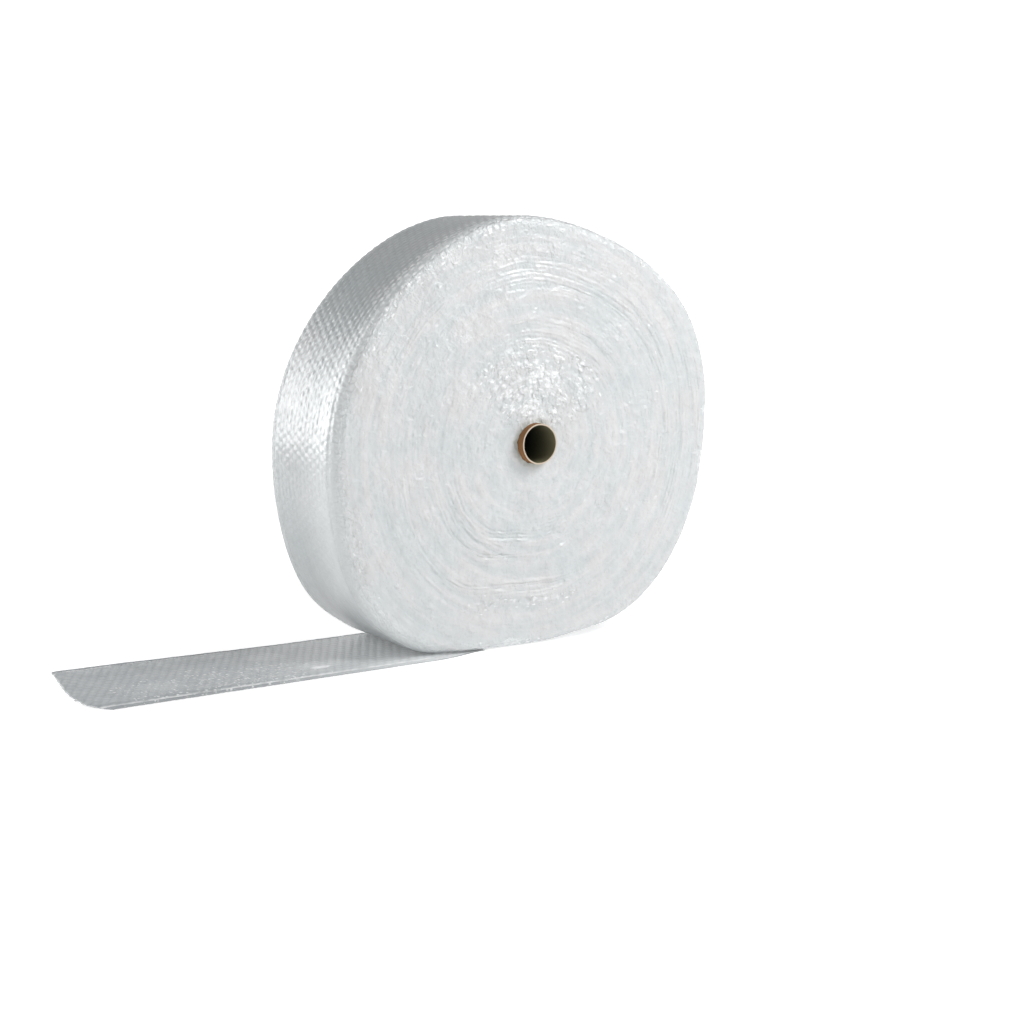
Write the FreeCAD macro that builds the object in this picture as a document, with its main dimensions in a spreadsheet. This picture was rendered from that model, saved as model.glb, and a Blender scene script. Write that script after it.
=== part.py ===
import FreeCAD, Part
import math
import os

import Sketcher

# A soft roll of lay-flat bubble tubing on a cardboard core, standing on its rim.
# Frame: millimetres, +Z up. The core lies along Y, the face that shows is at -Y, and the
# free end runs out along -X on the floor. The origin is on the floor, under the core.

Vector = FreeCAD.Vector

SIZES = (
    # alias, millimetres, what it is
    ("roll_radius", 300.0, "mean radius of the wound turns"),
    ("roll_width", 190.0, "width of the wound turns, across their folded edges"),
    ("fold_radius", 10.0, "rounding of the folded edges round both faces"),
    ("core_height", 278.0, "core axis above the floor"),
    ("core_bore", 25.4, "inner radius of the core, for a 2 inch arbor"),
    ("core_wall", 2.0, "wall of the core"),
    ("core_front", 109.0, "reach of the core towards the near face"),
    ("core_back", 101.0, "reach of the core towards the far face"),
    ("seat_gap", 0.1, "room round the core inside the first turn"),
    ("rest_right", 14.0, "end of the flat spot past the core, along +X"),
    ("rest_left", 118.0, "end of the flat spot on the free end's side"),
    ("tubing_width", 200.0, "lay-flat width of the tubing, weld to weld"),
    ("tubing_thick", 5.6, "thickness of both bubble layers laid flat"),
    ("weld_width", 7.0, "plain welded margin along each edge"),
    ("weld_thick", 1.0, "thickness of the welded margin"),
    ("shoulder", 5.0, "width of the slope from the bubbles to the weld"),
    ("mouth_gap", 0.8, "slit between the two layers of the free end"),
    ("mouth_width", 174.0, "width of the slit"),
    ("mouth_end", 135.0, "where the slit stops, next to the wound turns"),
    ("free_reach", 628.0, "furthest point of the cut end from the core"),
    ("cut_waste", 10.0, "tubing past that point that the cut takes off"),
)

# The slumped outline of the wound turns, seen from the near face: the angle from +X towards
# +Z in degrees, and the distance from the core as a share of roll_radius. The flat spot
# closes it at the bottom.
OUTLINE = (
    (-78.0, 0.930), (-62.0, 0.980), (-45.0, 1.007), (-25.0, 1.002), (0.0, 1.004),
    (28.0, 1.053), (48.0, 1.033), (70.0, 0.996), (95.0, 1.007), (120.0, 0.983),
    (145.0, 0.976), (170.0, 0.997), (192.0, 1.021), (210.0, 1.069), (224.0, 1.091),
    (236.0, 1.070),
)

# The scissor cut across the free end: how far each point falls short of free_reach, and
# where it lies across the tubing as a share of half the width, from the far edge.
CUT_END = (
    (20.5, 1.03), (12.5, 0.55), (5.0, 0.12), (0.0, -0.35), (3.0, -0.67), (11.0, -0.84), (28.0, -1.03),
)


def fill_sheet(doc):
    """The driving dimensions, one cell and one alias each."""
    sheet = doc.addObject("Spreadsheet::Sheet", "sizes")
    for row, (alias, value, meaning) in enumerate(SIZES, start=1):
        sheet.set("A%d" % row, meaning)
        sheet.set("B%d" % row, str(value))
        sheet.setAlias("B%d" % row, alias)
    doc.recompute()
    return sheet


def new_body(doc, name):
    body = doc.addObject("PartDesign::Body", name)
    body.Label = name
    body.Placement = FreeCAD.Placement(Vector(0, 0, 0), FreeCAD.Rotation())
    return body


def sketch_on(body, role, name):
    """A sketch in the body, on its own origin plane of that role."""
    plane = [item for item in body.Origin.OriginFeatures if item.Role == role][0]
    sketch = body.newObject("Sketcher::SketchObject", name)
    sketch.AttachmentSupport = [(plane, "")]
    sketch.MapMode = "FlatFace"
    return sketch


def bind(sketch, constraint, name, expression):
    """Adds a dimension to the sketch and ties it to the sheet."""
    index = sketch.addConstraint(constraint)
    sketch.renameConstraint(index, name)
    sketch.setExpression("Constraints." + name, expression)


def spline(points, start=None, finish=None):
    """A smooth curve through the points, with its end directions if they are given."""
    curve = Part.BSplineCurve()
    if start is None:
        curve.interpolate(Points=points)
    else:
        curve.interpolate(Points=points, InitialTangent=start, FinalTangent=finish)
    return curve


def closed_chain(sketch, points):
    """Straight lines from point to point and back to the first, joined end to end."""
    count = len(points)
    for here in range(count):
        sketch.addGeometry(Part.LineSegment(points[here], points[(here + 1) % count]), False)
    for here in range(count):
        sketch.addConstraint(Sketcher.Constraint("Coincident", here, 2, (here + 1) % count, 1))


def outline_points(sheet):
    """The outline from the flat spot's right end, over the top, to its left end."""
    points = [Vector(sheet.rest_right, 0, 0)]
    for angle, share in OUTLINE:
        reach = share * sheet.roll_radius
        turn = math.radians(angle)
        points.append(Vector(reach * math.cos(turn), sheet.core_height + reach * math.sin(turn), 0))
    points.append(Vector(-sheet.rest_left, 0, 0))
    return points


def wind_turns(body, sheet):
    """All the wound turns as one pad, slumped on to a flat spot, with rounded folds."""
    sketch = sketch_on(body, "XZ_Plane", "turns_outline")
    points = outline_points(sheet)
    rim = spline(points, Vector(1, 0, 0), Vector(1, 0, 0))
    sketch.addGeometry(rim, False)
    sketch.addGeometry(Part.LineSegment(points[-1], points[0]), False)
    pad = body.newObject("PartDesign::Pad", "wound_turns")
    pad.Profile = sketch
    pad.SideType = "Symmetric"
    pad.setExpression("Length", "sizes.roll_width")
    body.Document.recompute()

    half = sheet.roll_width / 2
    rims = []
    for index, edge in enumerate(pad.Shape.Edges, start=1):
        box = edge.BoundBox
        if box.YLength < 0.01 and abs(abs(box.YMin) - half) < 0.01:
            rims.append("Edge%d" % index)
    folds = body.newObject("PartDesign::Fillet", "folded_edges")
    folds.Base = (pad, rims)
    folds.setExpression("Radius", "sizes.fold_radius")
    body.Document.recompute()
    return folds


def core_circle(sketch, sheet, radius):
    """A circle on the core's axis."""
    centre = Vector(0, sheet.core_height, 0)
    sketch.addGeometry(Part.Circle(centre, Vector(0, 0, 1), radius), False)


def centre_on_axis(sketch, sheet):
    """Holds the sketch's first circle over the origin, at the core's height."""
    sketch.addConstraint(Sketcher.Constraint("PointOnObject", 0, 3, -2))
    bind(sketch, Sketcher.Constraint("DistanceY", -1, 1, 0, 3, sheet.core_height), "height",
         "sizes.core_height")


def seat_core(body, sheet):
    """The round way through the turns that the core fills."""
    sketch = sketch_on(body, "XZ_Plane", "core_seat_circle")
    seat = sheet.core_bore + sheet.core_wall + sheet.seat_gap
    core_circle(sketch, sheet, seat)
    centre_on_axis(sketch, sheet)
    bind(sketch, Sketcher.Constraint("Radius", 0, seat), "seat",
         "sizes.core_bore + sizes.core_wall + sizes.seat_gap")
    pocket = body.newObject("PartDesign::Pocket", "core_seat")
    pocket.Profile = sketch
    pocket.Type = "ThroughAll"
    pocket.SideType = "Symmetric"
    body.Document.recompute()
    return pocket


def lay_free_end(body, sheet):
    """The tubing that has run off the roll: two bubble layers, welded along both edges."""
    half = sheet.tubing_width / 2
    weld = half - sheet.weld_width
    crown = weld - sheet.shoulder
    left = [(-half, 0), (-half, sheet.weld_thick), (-weld, sheet.weld_thick),
            (-crown, sheet.tubing_thick)]
    section = left + [(-y, z) for y, z in reversed(left)]
    sketch = sketch_on(body, "YZ_Plane", "tubing_section")
    closed_chain(sketch, [Vector(y, z, 0) for y, z in section])
    pad = body.newObject("PartDesign::Pad", "free_end")
    pad.Profile = sketch
    pad.Reversed = True
    pad.setExpression("Length", "sizes.free_reach + sizes.cut_waste")
    body.Document.recompute()
    return pad


def open_mouth(body, sheet):
    """The slit between the two layers, open at the cut end."""
    half = sheet.mouth_width / 2
    low = (sheet.tubing_thick - sheet.mouth_gap) / 2
    high = low + sheet.mouth_gap
    sketch = sketch_on(body, "YZ_Plane", "mouth_section")
    sketch.setExpression("AttachmentOffset.Base.z", "-sizes.mouth_end")
    closed_chain(sketch, [Vector(-half, low, 0), Vector(half, low, 0),
                          Vector(half, high, 0), Vector(-half, high, 0)])
    pocket = body.newObject("PartDesign::Pocket", "mouth")
    pocket.Profile = sketch
    pocket.Type = "ThroughAll"
    body.Document.recompute()
    return pocket


def cut_across(body, sheet):
    """The uneven scissor cut that ends the tubing."""
    half = sheet.tubing_width / 2
    cut = [Vector(short - sheet.free_reach, share * half, 0) for short, share in CUT_END]
    beyond = -sheet.free_reach - 2 * sheet.cut_waste
    corners = [cut[-1], Vector(beyond, cut[-1].y, 0), Vector(beyond, cut[0].y, 0), cut[0]]
    sketch = sketch_on(body, "XY_Plane", "scissor_cut")
    sketch.addGeometry(spline(cut), False)
    for start, end in zip(corners, corners[1:]):
        sketch.addGeometry(Part.LineSegment(start, end), False)
    pocket = body.newObject("PartDesign::Pocket", "cut_end")
    pocket.Profile = sketch
    pocket.Type = "ThroughAll"
    pocket.SideType = "Symmetric"
    body.Document.recompute()
    return pocket


def make_tubing(doc, sheet):
    body = new_body(doc, "bubble_tubing")
    steps = [
        wind_turns(body, sheet),
        seat_core(body, sheet),
        lay_free_end(body, sheet),
        open_mouth(body, sheet),
        cut_across(body, sheet),
    ]
    for before, after in zip(steps, steps[1:]):
        added = after.Shape.Volume - before.Shape.Volume
        wanted = 1 if after.Name == "free_end" else -1
        if added * wanted <= 0:
            raise RuntimeError("%s changed nothing" % after.Name)
    return body


def make_core(doc, sheet):
    """The cardboard tube that the tubing is wound on."""
    body = new_body(doc, "core_tube")
    sketch = sketch_on(body, "XZ_Plane", "core_rings")
    inside = sheet.core_bore
    outside = inside + sheet.core_wall
    core_circle(sketch, sheet, outside)
    core_circle(sketch, sheet, inside)
    centre_on_axis(sketch, sheet)
    sketch.addConstraint(Sketcher.Constraint("Coincident", 0, 3, 1, 3))
    bind(sketch, Sketcher.Constraint("Radius", 0, outside), "outside", "sizes.core_bore + sizes.core_wall")
    bind(sketch, Sketcher.Constraint("Radius", 1, inside), "inside", "sizes.core_bore")
    pad = body.newObject("PartDesign::Pad", "core_wall")
    pad.Profile = sketch
    pad.SideType = "Two sides"
    pad.setExpression("Length", "sizes.core_front")
    pad.setExpression("Length2", "sizes.core_back")
    return body


def check(doc, bodies):
    """Stops if any feature failed or any piece isn't one sound solid."""
    for item in doc.Objects:
        if "Invalid" in item.State or "Error" in item.State:
            raise RuntimeError("%s failed: %s" % (item.Name, item.State))
    for body in bodies:
        shape = body.Shape
        if shape.isNull() or not shape.isValid() or len(shape.Solids) != 1:
            raise RuntimeError("%s is not one valid solid" % body.Label)
        box = shape.BoundBox
        print("%s: %.0f mm3, x %.1f..%.1f y %.1f..%.1f z %.2f..%.1f" % (
            body.Label, shape.Volume, box.XMin, box.XMax, box.YMin, box.YMax, box.ZMin, box.ZMax))


def main():
    doc = FreeCAD.newDocument("bubble_tubing_roll")
    sheet = fill_sheet(doc)
    bodies = [make_tubing(doc, sheet), make_core(doc, sheet)]
    doc.recompute()
    check(doc, bodies)
    os.makedirs("parts", exist_ok=True)
    for body in bodies:
        body.Shape.exportStep("parts/%s.step" % body.Label)


main()
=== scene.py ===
"""Dresses a packed roll of bubble tubing.

The tubing is a flat sleeve of clear bubble film, welded along both sides and wound on a cardboard core.
The roll stands on its rim, slumped under its own weight, and its free end runs out flat along the floor.
Sizes are in metres and angles in degrees. Angles go round the core's axis, from +X towards +Z.
"""

import logging
import math
from dataclasses import dataclass, field
from enum import Enum

import bpy
import numpy as np
from mathutils import Euler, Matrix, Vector
from mathutils.bvhtree import BVHTree


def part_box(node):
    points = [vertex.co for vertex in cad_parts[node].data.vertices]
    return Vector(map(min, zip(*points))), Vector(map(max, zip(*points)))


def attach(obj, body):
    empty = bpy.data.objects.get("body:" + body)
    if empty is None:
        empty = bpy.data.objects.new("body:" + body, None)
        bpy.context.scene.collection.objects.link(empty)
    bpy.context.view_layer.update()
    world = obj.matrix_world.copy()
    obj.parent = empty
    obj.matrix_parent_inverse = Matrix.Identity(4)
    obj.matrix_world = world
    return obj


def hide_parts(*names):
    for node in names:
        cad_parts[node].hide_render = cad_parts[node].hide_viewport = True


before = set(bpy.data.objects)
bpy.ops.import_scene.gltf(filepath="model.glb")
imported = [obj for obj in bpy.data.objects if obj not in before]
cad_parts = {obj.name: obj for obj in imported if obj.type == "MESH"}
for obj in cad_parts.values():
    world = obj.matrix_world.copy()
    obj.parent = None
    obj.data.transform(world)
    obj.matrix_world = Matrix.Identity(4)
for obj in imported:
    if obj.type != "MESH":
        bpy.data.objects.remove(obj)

LOG = logging.getLogger("tubing_roll")
BODY = "root"
WHOLE_TURN = 2 * math.pi
Color = tuple[float, float, float]
Point = tuple[float, float, float]


class Side(Enum):
    """The two flat sides of the roll, by the sign of Y that each one faces."""

    NEAR = -1.0
    FAR = 1.0


class Slot(Enum):
    """The record's material slots."""

    FILM = "film"
    CARDBOARD = "cardboard"


class Wire:
    """What one node puts out. Adding, multiplying and so on add the nodes that do it."""

    def __init__(self, wiring: "Wiring", socket: bpy.types.NodeSocket) -> None:
        """Keeps the socket.

        Args:
            wiring: The tree that it is in.
            socket: A node's output.
        """
        self.wiring = wiring
        self.socket = socket

    def __add__(self, other: "Feed") -> "Wire":
        """The sum of two numbers."""
        return self.wiring.math("ADD", self, other)

    def __sub__(self, other: "Feed") -> "Wire":
        """The difference of two numbers."""
        return self.wiring.math("SUBTRACT", self, other)

    def __rsub__(self, other: float) -> "Wire":
        """The difference, where a plain number stands first."""
        return self.wiring.math("SUBTRACT", other, self)

    def __mul__(self, other: "Feed") -> "Wire":
        """The product of two numbers."""
        return self.wiring.math("MULTIPLY", self, other)

    def __truediv__(self, other: "Feed") -> "Wire":
        """One number divided by another."""
        return self.wiring.math("DIVIDE", self, other)

    def __rtruediv__(self, other: float) -> "Wire":
        """A plain number divided by this one."""
        return self.wiring.math("DIVIDE", other, self)

    def __neg__(self) -> "Wire":
        """The number with its other sign."""
        return self * -1.0

    def __abs__(self) -> "Wire":
        """The number without its sign."""
        return self.wiring.math("ABSOLUTE", self)

    __radd__ = __add__
    __rmul__ = __mul__


Feed = Wire | float | tuple | str | bool | bpy.types.ID | None
Feeds = dict[int | str, Feed]


class Wiring:
    """Adds nodes to a node tree and joins them up."""

    def __init__(self, tree: bpy.types.NodeTree) -> None:
        """Keeps the tree that the nodes go in.

        Args:
            tree: A geometry or shader node tree.
        """
        self.tree = tree

    def add(self, kind: str, feeds: Feeds | None = None, **settings: object) -> bpy.types.Node:
        """Adds one node.

        Args:
            kind: The node's type.
            feeds: What goes into each input, by its number or name: a wire or a plain value.
            settings: The node's own properties.

        Returns:
            The new node.
        """
        node = self.tree.nodes.new(kind)
        for name, value in settings.items():
            setattr(node, name, value)
        for place, value in (feeds or {}).items():
            self.feed(node.inputs[place], value)
        return node

    def wire(self, kind: str, feeds: Feeds | None = None, output: int | str = 0, **settings: object) -> Wire:
        """Adds one node.

        Args:
            kind: The node's type.
            feeds: What goes into each input, by its number or name.
            output: The number or name of the output that is wanted.
            settings: The node's own properties.

        Returns:
            The wire from that output.
        """
        return Wire(self, self.add(kind, feeds, **settings).outputs[output])

    def feed(self, socket: bpy.types.NodeSocket, value: Feed) -> None:
        """Joins a wire to an input, or sets the input's own value.

        Args:
            socket: The input.
            value: A wire or a plain value. A colour of three numbers is a solid one.
        """
        if isinstance(value, Wire):
            self.tree.links.new(value.socket, socket)
        elif value is not None:
            solid = socket.type == "RGBA" and len(value) == 3
            socket.default_value = (*value, 1.0) if solid else value

    def math(self, operation: str, *terms: Feed) -> Wire:
        """Works on one, two or three numbers and returns the result."""
        return self.wire("ShaderNodeMath", dict(enumerate(terms)), operation=operation)

    def vector_math(self, operation: str, *terms: Feed) -> Wire:
        """Works on vectors and returns the resulting vector."""
        return self.wire("ShaderNodeVectorMath", dict(enumerate(terms)), operation=operation)

    def scaled(self, vector: Feed, by: Feed) -> Wire:
        """Multiplies a vector by a number."""
        return self.wire("ShaderNodeVectorMath", {"Vector": vector, "Scale": by}, operation="SCALE")

    def length(self, vector: Wire) -> Wire:
        """Measures a vector."""
        return self.wire("ShaderNodeVectorMath", {0: vector}, "Value", operation="LENGTH")

    def combined(self, x: Feed, y: Feed, z: Feed) -> Wire:
        """Makes a vector of three numbers."""
        return self.wire("ShaderNodeCombineXYZ", {0: x, 1: y, 2: z})

    def split(self, vector: Feed) -> tuple[Wire, ...]:
        """Takes a vector apart into its three numbers."""
        return tuple(Wire(self, part) for part in self.add("ShaderNodeSeparateXYZ", {0: vector}).outputs)

    def noise(self, at: Feed, scale: Feed, detail: float = 2.0, roughness: float = 0.5) -> Wire:
        """Noise about zero, from -1 to 1.

        Args:
            at: The place to read it at.
            scale: How many lumps there are to one unit.
            detail: How many finer layers it has.
            roughness: How strong the finer layers are.

        Returns:
            The noise.
        """
        feeds = {"Vector": at, "Scale": scale, "Detail": detail, "Roughness": roughness}
        return self.wire("ShaderNodeTexNoise", feeds) * 2.0 - 1.0

    def bent(self, at: Wire, scale: float, detail: float, reach: float) -> Wire:
        """Pushes coordinates about, so that a regular pattern read at them turns uneven.

        Args:
            at: The coordinates.
            scale: How many pushes there are to one unit.
            detail: How many finer layers the pushes have.
            reach: How far they go.

        Returns:
            The bent coordinates.
        """
        push = self.wire("ShaderNodeTexNoise", {"Vector": at, "Scale": scale, "Detail": detail}, "Color")
        return self.vector_math("ADD", at, self.scaled(push, reach))

    def cells(self, at: Feed, scale: Feed) -> Wire:
        """Distance from the middle of the nearest cell of a random pattern."""
        return self.wire("ShaderNodeTexVoronoi", {"Vector": at, "Scale": scale}, "Distance")

    def remap(self, value: Feed, low: Feed, high: Feed, to_low: Feed = 0.0, to_high: Feed = 1.0) -> Wire:
        """Fits a value smoothly from one range to another."""
        feeds = {0: value, 1: low, 2: high, 3: to_low, 4: to_high}
        return self.wire("ShaderNodeMapRange", feeds, interpolation_type="SMOOTHSTEP")

    def between(self, share: Feed, first: Feed, second: Feed) -> Wire:
        """Mixes two numbers by a share."""
        return self.wire("ShaderNodeMix", {0: share, 2: first, 3: second}, data_type="FLOAT")

    def blend(self, share: Feed, first: Feed, second: Feed) -> Wire:
        """Mixes two colours by a share."""
        return self.wire("ShaderNodeMix", {0: share, 6: first, 7: second}, 2, data_type="RGBA")

    def mark(self, name: str) -> Wire:
        """Reads one of the piece's own attributes."""
        return self.wire("ShaderNodeAttribute", None, "Fac", attribute_name=name)


class Recipe(Wiring):
    """A geometry node tree with named inputs, put on a mesh and turned into a plain mesh."""

    KINDS = {float: "NodeSocketFloat", int: "NodeSocketInt"}

    def __init__(self, name: str) -> None:
        """Makes an empty tree that takes a geometry and gives one back.

        Args:
            name: The tree's name.
        """
        super().__init__(bpy.data.node_groups.new(name, "GeometryNodeTree"))
        self.tree.is_modifier = True
        self.sockets: dict[str, str] = {}
        self.interface("Geometry", "NodeSocketGeometry")
        self.tree.interface.new_socket("Geometry", in_out="OUTPUT", socket_type="NodeSocketGeometry")
        self.start = self.add("NodeGroupInput")
        self.geometry = Wire(self, self.start.outputs["Geometry"])

    def interface(self, name: str, kind: str) -> None:
        """Adds a named input of one kind and keeps its identifier."""
        self.sockets[name] = self.tree.interface.new_socket(name, in_out="INPUT", socket_type=kind).identifier

    def given(self, name: str, kind: str) -> Wire:
        """Adds a named input of one kind and returns the wire from it."""
        self.interface(name, kind)
        return Wire(self, self.start.outputs[name])

    def numbers(self, *names: str, kind: type = float) -> tuple[Wire, ...]:
        """Adds named numbers and returns the wire from each."""
        return tuple(self.given(name, self.KINDS[kind]) for name in names)

    def thing(self, name: str) -> Wire:
        """Adds a named object and returns its geometry."""
        item = self.given(name, "NodeSocketObject")
        return self.wire("GeometryNodeObjectInfo", {"Object": item}, "Geometry")

    def curve(self, line: Wire) -> Wire:
        """Turns a line of edges into a curve."""
        return self.wire("GeometryNodeMeshToCurve", {"Mesh": line})

    def place(self) -> Wire:
        """Reads where each point is."""
        return self.wire("GeometryNodeInputPosition")

    def mark(self, name: str, kind: str = "FLOAT") -> Wire:
        """Reads a named attribute of the mesh."""
        return self.wire("GeometryNodeInputNamedAttribute", {"Name": name}, "Attribute", data_type=kind)

    def store(self, geometry: Wire, name: str, value: Wire, **settings: str) -> Wire:
        """Keeps a value on the geometry under a name and returns the geometry."""
        feeds = {"Geometry": geometry, "Name": name, "Value": value}
        return self.wire("GeometryNodeStoreNamedAttribute", feeds, **settings)

    def moved(self, geometry: Wire, how: str, where: Wire) -> Wire:
        """Moves points to a "Position" or by an "Offset" and returns the geometry."""
        return self.wire("GeometryNodeSetPosition", {"Geometry": geometry, how: where})

    def sampled(self, curve: Wire, length: Wire, value: Wire | None = None) -> tuple[Wire, ...]:
        """Reads a curve at a length along it.

        Args:
            curve: The curve.
            length: How far along it.
            value: Something of the curve's own to read there too.

        Returns:
            The place, the direction and that value.
        """
        feeds = {"Curves": curve, "Length": length, "Value": value}
        node = self.add("GeometryNodeSampleCurve", feeds, mode="LENGTH")
        return tuple(Wire(self, node.outputs[name]) for name in ("Position", "Tangent", "Value"))

    def finish(self, geometry: Wire) -> None:
        """Ends the tree: real meshes, smooth faces and the material.

        Args:
            geometry: The finished geometry.
        """
        real = self.wire("GeometryNodeRealizeInstances", {"Geometry": geometry})
        smooth = self.wire("GeometryNodeSetShadeSmooth", {"Geometry": real})
        material = self.given("Material", "NodeSocketMaterial")
        dressed = self.wire("GeometryNodeSetMaterial", {"Geometry": smooth, "Material": material})
        self.add("NodeGroupOutput", {0: dressed})

    def apply(self, start: bpy.types.Mesh, name: str, values: dict[str, object]) -> bpy.types.Object:
        """Runs the tree on a mesh.

        Args:
            start: The mesh that goes in.
            name: The finished piece's name.
            values: A value for each named input.

        Returns:
            An object with a plain mesh and no modifier.
        """
        maker = linked(bpy.data.objects.new(name + "_maker", start))
        modifier = maker.modifiers.new(name, "NODES")
        modifier.node_group = self.tree
        for label, value in values.items():
            modifier[self.sockets[label]] = value
        graph = bpy.context.evaluated_depsgraph_get()
        made = bpy.data.meshes.new_from_object(maker.evaluated_get(graph), depsgraph=graph)
        made.name = name
        bpy.data.objects.remove(maker)
        bpy.data.meshes.remove(start)
        return linked(bpy.data.objects.new(name, made))


class Effect(Wiring):
    """A shader group with named inputs and one output, which more than one finish uses."""

    KINDS = {"At": "NodeSocketVector"} | dict.fromkeys(("Cool", "Warm", "Milky", "Color"), "NodeSocketColor")

    def __init__(self, name: str, inputs: tuple[str, ...], output: str) -> None:
        """Makes an empty group.

        Args:
            name: The group's name.
            inputs: The names of its inputs, which are numbers unless KINDS says otherwise.
            output: The name of its output.
        """
        super().__init__(bpy.data.node_groups.new(name, "ShaderNodeTree"))
        self.output = output
        for label, way in [(label, "INPUT") for label in inputs] + [(output, "OUTPUT")]:
            kind = self.KINDS.get(label, "NodeSocketFloat")
            self.tree.interface.new_socket(label, in_out=way, socket_type=kind)
        start = self.add("NodeGroupInput")
        self.given = {label: Wire(self, start.outputs[label]) for label in inputs}

    def finish(self, value: Wire) -> None:
        """Ends the group with what it puts out."""
        self.add("NodeGroupOutput", {self.output: value})

    def placed(self, wiring: Wiring, **values: Feed) -> Wire:
        """Places the group in a material.

        Args:
            wiring: The material's wiring.
            values: What goes into each input, by its name in small letters with underscores.

        Returns:
            The wire from its output.
        """
        feeds = {label.capitalize().replace("_", " "): value for label, value in values.items()}
        return wiring.wire("ShaderNodeGroup", feeds, self.output, node_tree=self.tree)


class Haze(Effect):
    """Cloudy changes of tone in two tints and a milky one, with a fine grain and bands along the turns."""

    MIDDLE = 0.5
    TINT_CHANGE, TINT_LEVELS = 0.9, (0.1, 0.9)
    CLOUD_CHANGE, CLOUD_LEVELS, CLOUD_SCALE = 0.8, (0.2, 0.9), 3.1
    BAND_SHARE = 0.8

    def __init__(self) -> None:
        """Builds the group, which turns coordinates, the piece's own bands and tints into a colour."""
        super().__init__("film_haze", ("At", "Band", "Size", "Cool", "Warm", "Milky", "Milkiness", "Grain",
                                       "Grain size", "Banding"), "Color")
        place, band = self.given["At"], self.given["Band"]
        at = self.scaled(place, 1.0 / self.given["Size"])
        tint = self.noise(at, 1.0, 3.0, 0.6) * self.TINT_CHANGE + self.MIDDLE + band * self.BAND_SHARE
        cloud = self.noise(at, self.CLOUD_SCALE, 4.0, 0.65) * self.CLOUD_CHANGE + self.MIDDLE
        tinted = self.blend(self.remap(tint, *self.TINT_LEVELS), self.given["Cool"], self.given["Warm"])
        milk = self.remap(cloud, *self.CLOUD_LEVELS) * self.given["Milkiness"]
        color = self.blend(milk, tinted, self.given["Milky"])
        grain = self.noise(place, 1.0 / self.given["Grain size"], 3.0, 0.6) * self.given["Grain"]
        self.finish(self.scaled(color, grain + band * self.given["Banding"] + 1.0))


class Crinkle(Effect):
    """The small facets and folds of crumpled thin film."""

    BEND = (0.7, 1.0, 1.2)
    FINE_SCALE, FINE_SHARE = 2.7, 0.35
    SOFT_SCALE, SOFT_SHARE = 1.4, 0.3

    def __init__(self) -> None:
        """Builds the group, which turns coordinates and a facet size into a height in metres."""
        super().__init__("film_crinkle", ("At", "Size", "Amount"), "Height")
        at = self.scaled(self.given["At"], 1.0 / self.given["Size"])
        bent = self.bent(at, *self.BEND)
        facets = self.cells(bent, 1.0) + self.cells(bent, self.FINE_SCALE) * self.FINE_SHARE
        soft = self.noise(at, self.SOFT_SCALE, 3.0, 0.55) * self.SOFT_SHARE
        self.finish((facets + soft) * (self.given["Amount"] * self.given["Size"]))


class PaintedGlints(Effect):
    """Painted glints: small white dots of many sizes, and lumps where they are dense, standing in for the
    light that creased film catches.
    """

    BEND = (1.3, 2.0, 0.9)
    CHANCE_RANGE, REACH, EDGE, FAINTEST = 0.35, 0.5, 0.3, 0.45
    LUMP_SCALE, LUMP_LEVEL, LUMP_FALL, LUMP_RANGE, LUMP_SHARE = 0.75, 0.62, 0.8, 0.35, 0.8

    def __init__(self) -> None:
        """Builds the group, which turns coordinates, a size and a density from 0 to 1 into a mask."""
        super().__init__("film_painted_glints", ("At", "Size", "Density"), "Mask")
        density = self.given["Density"]
        bent = self.bent(self.scaled(self.given["At"], 1.0 / self.given["Size"]), *self.BEND)
        cell = self.add("ShaderNodeTexVoronoi", {"Vector": bent, "Scale": 1.0})
        distance, color = (Wire(self, cell.outputs[name]) for name in ("Distance", "Color"))
        chance = self.split(color)[0]
        least = 1.0 - density
        reach = self.remap(chance, least, least + self.CHANCE_RANGE) * self.REACH
        glint_dots = self.remap(reach - distance, 0.0, self.EDGE) * self.remap(chance, 0.0, 1.0, self.FAINTEST, 1.0)
        level = density * -self.LUMP_FALL + self.LUMP_LEVEL
        noise = self.noise(bent, self.LUMP_SCALE, 4.0, 0.7)
        lumps = self.remap(noise, level, level + self.LUMP_RANGE, 0.0, self.LUMP_SHARE)
        self.finish(self.math("MAXIMUM", glint_dots, lumps))


class SharedEffects:
    """One of each of the effects."""

    def __init__(self) -> None:
        """Builds them once."""
        self.haze, self.crinkle, self.painted_glints = Haze(), Crinkle(), PaintedGlints()


class Paint(Wiring):
    """A new material, wired up round its Principled shader."""

    def __init__(self, name: str) -> None:
        """Makes the material.

        Args:
            name: The material's name.
        """
        self.item = bpy.data.materials.new(name)
        self.item.use_nodes = True
        super().__init__(self.item.node_tree)
        self.shader = self.tree.nodes["Principled BSDF"].inputs
        places = self.add("ShaderNodeTexCoord").outputs
        self.at, self.chart = Wire(self, places["Object"]), Wire(self, places["UV"])

    def finish(self, feeds: dict[str, Feed], height: Wire | None = None) -> bpy.types.Material:
        """Feeds the shader.

        Args:
            feeds: What goes into each of its inputs.
            height: The height of the bumps in metres, where there are any.

        Returns:
            The finished material.
        """
        if height is not None:
            bump = {"Strength": 1.0, "Distance": 1.0, "Height": height}
            feeds = feeds | {"Normal": self.wire("ShaderNodeBump", bump)}
        for name, value in feeds.items():
            self.feed(self.shader[name], value)
        return self.item


@dataclass(frozen=True)
class Patches:
    """An uneven mask: noise, fitted between two of its levels."""

    scale: float
    low: float
    high: float
    least: float = 0.0
    detail: float = 3.0
    roughness: float = 0.7

    def on(self, wiring: Wiring, at: Wire) -> Wire:
        """The mask at some coordinates, from its least to 1."""
        noise = wiring.noise(at, self.scale, self.detail, self.roughness)
        return wiring.remap(noise, self.low, self.high, self.least)


@dataclass(frozen=True)
class CreaseHighlight:
    """One painted highlight along a crease, by its middle on the piece's map, its size and its strength."""

    along: float
    side: float
    reach: float
    width: float
    strength: float


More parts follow.
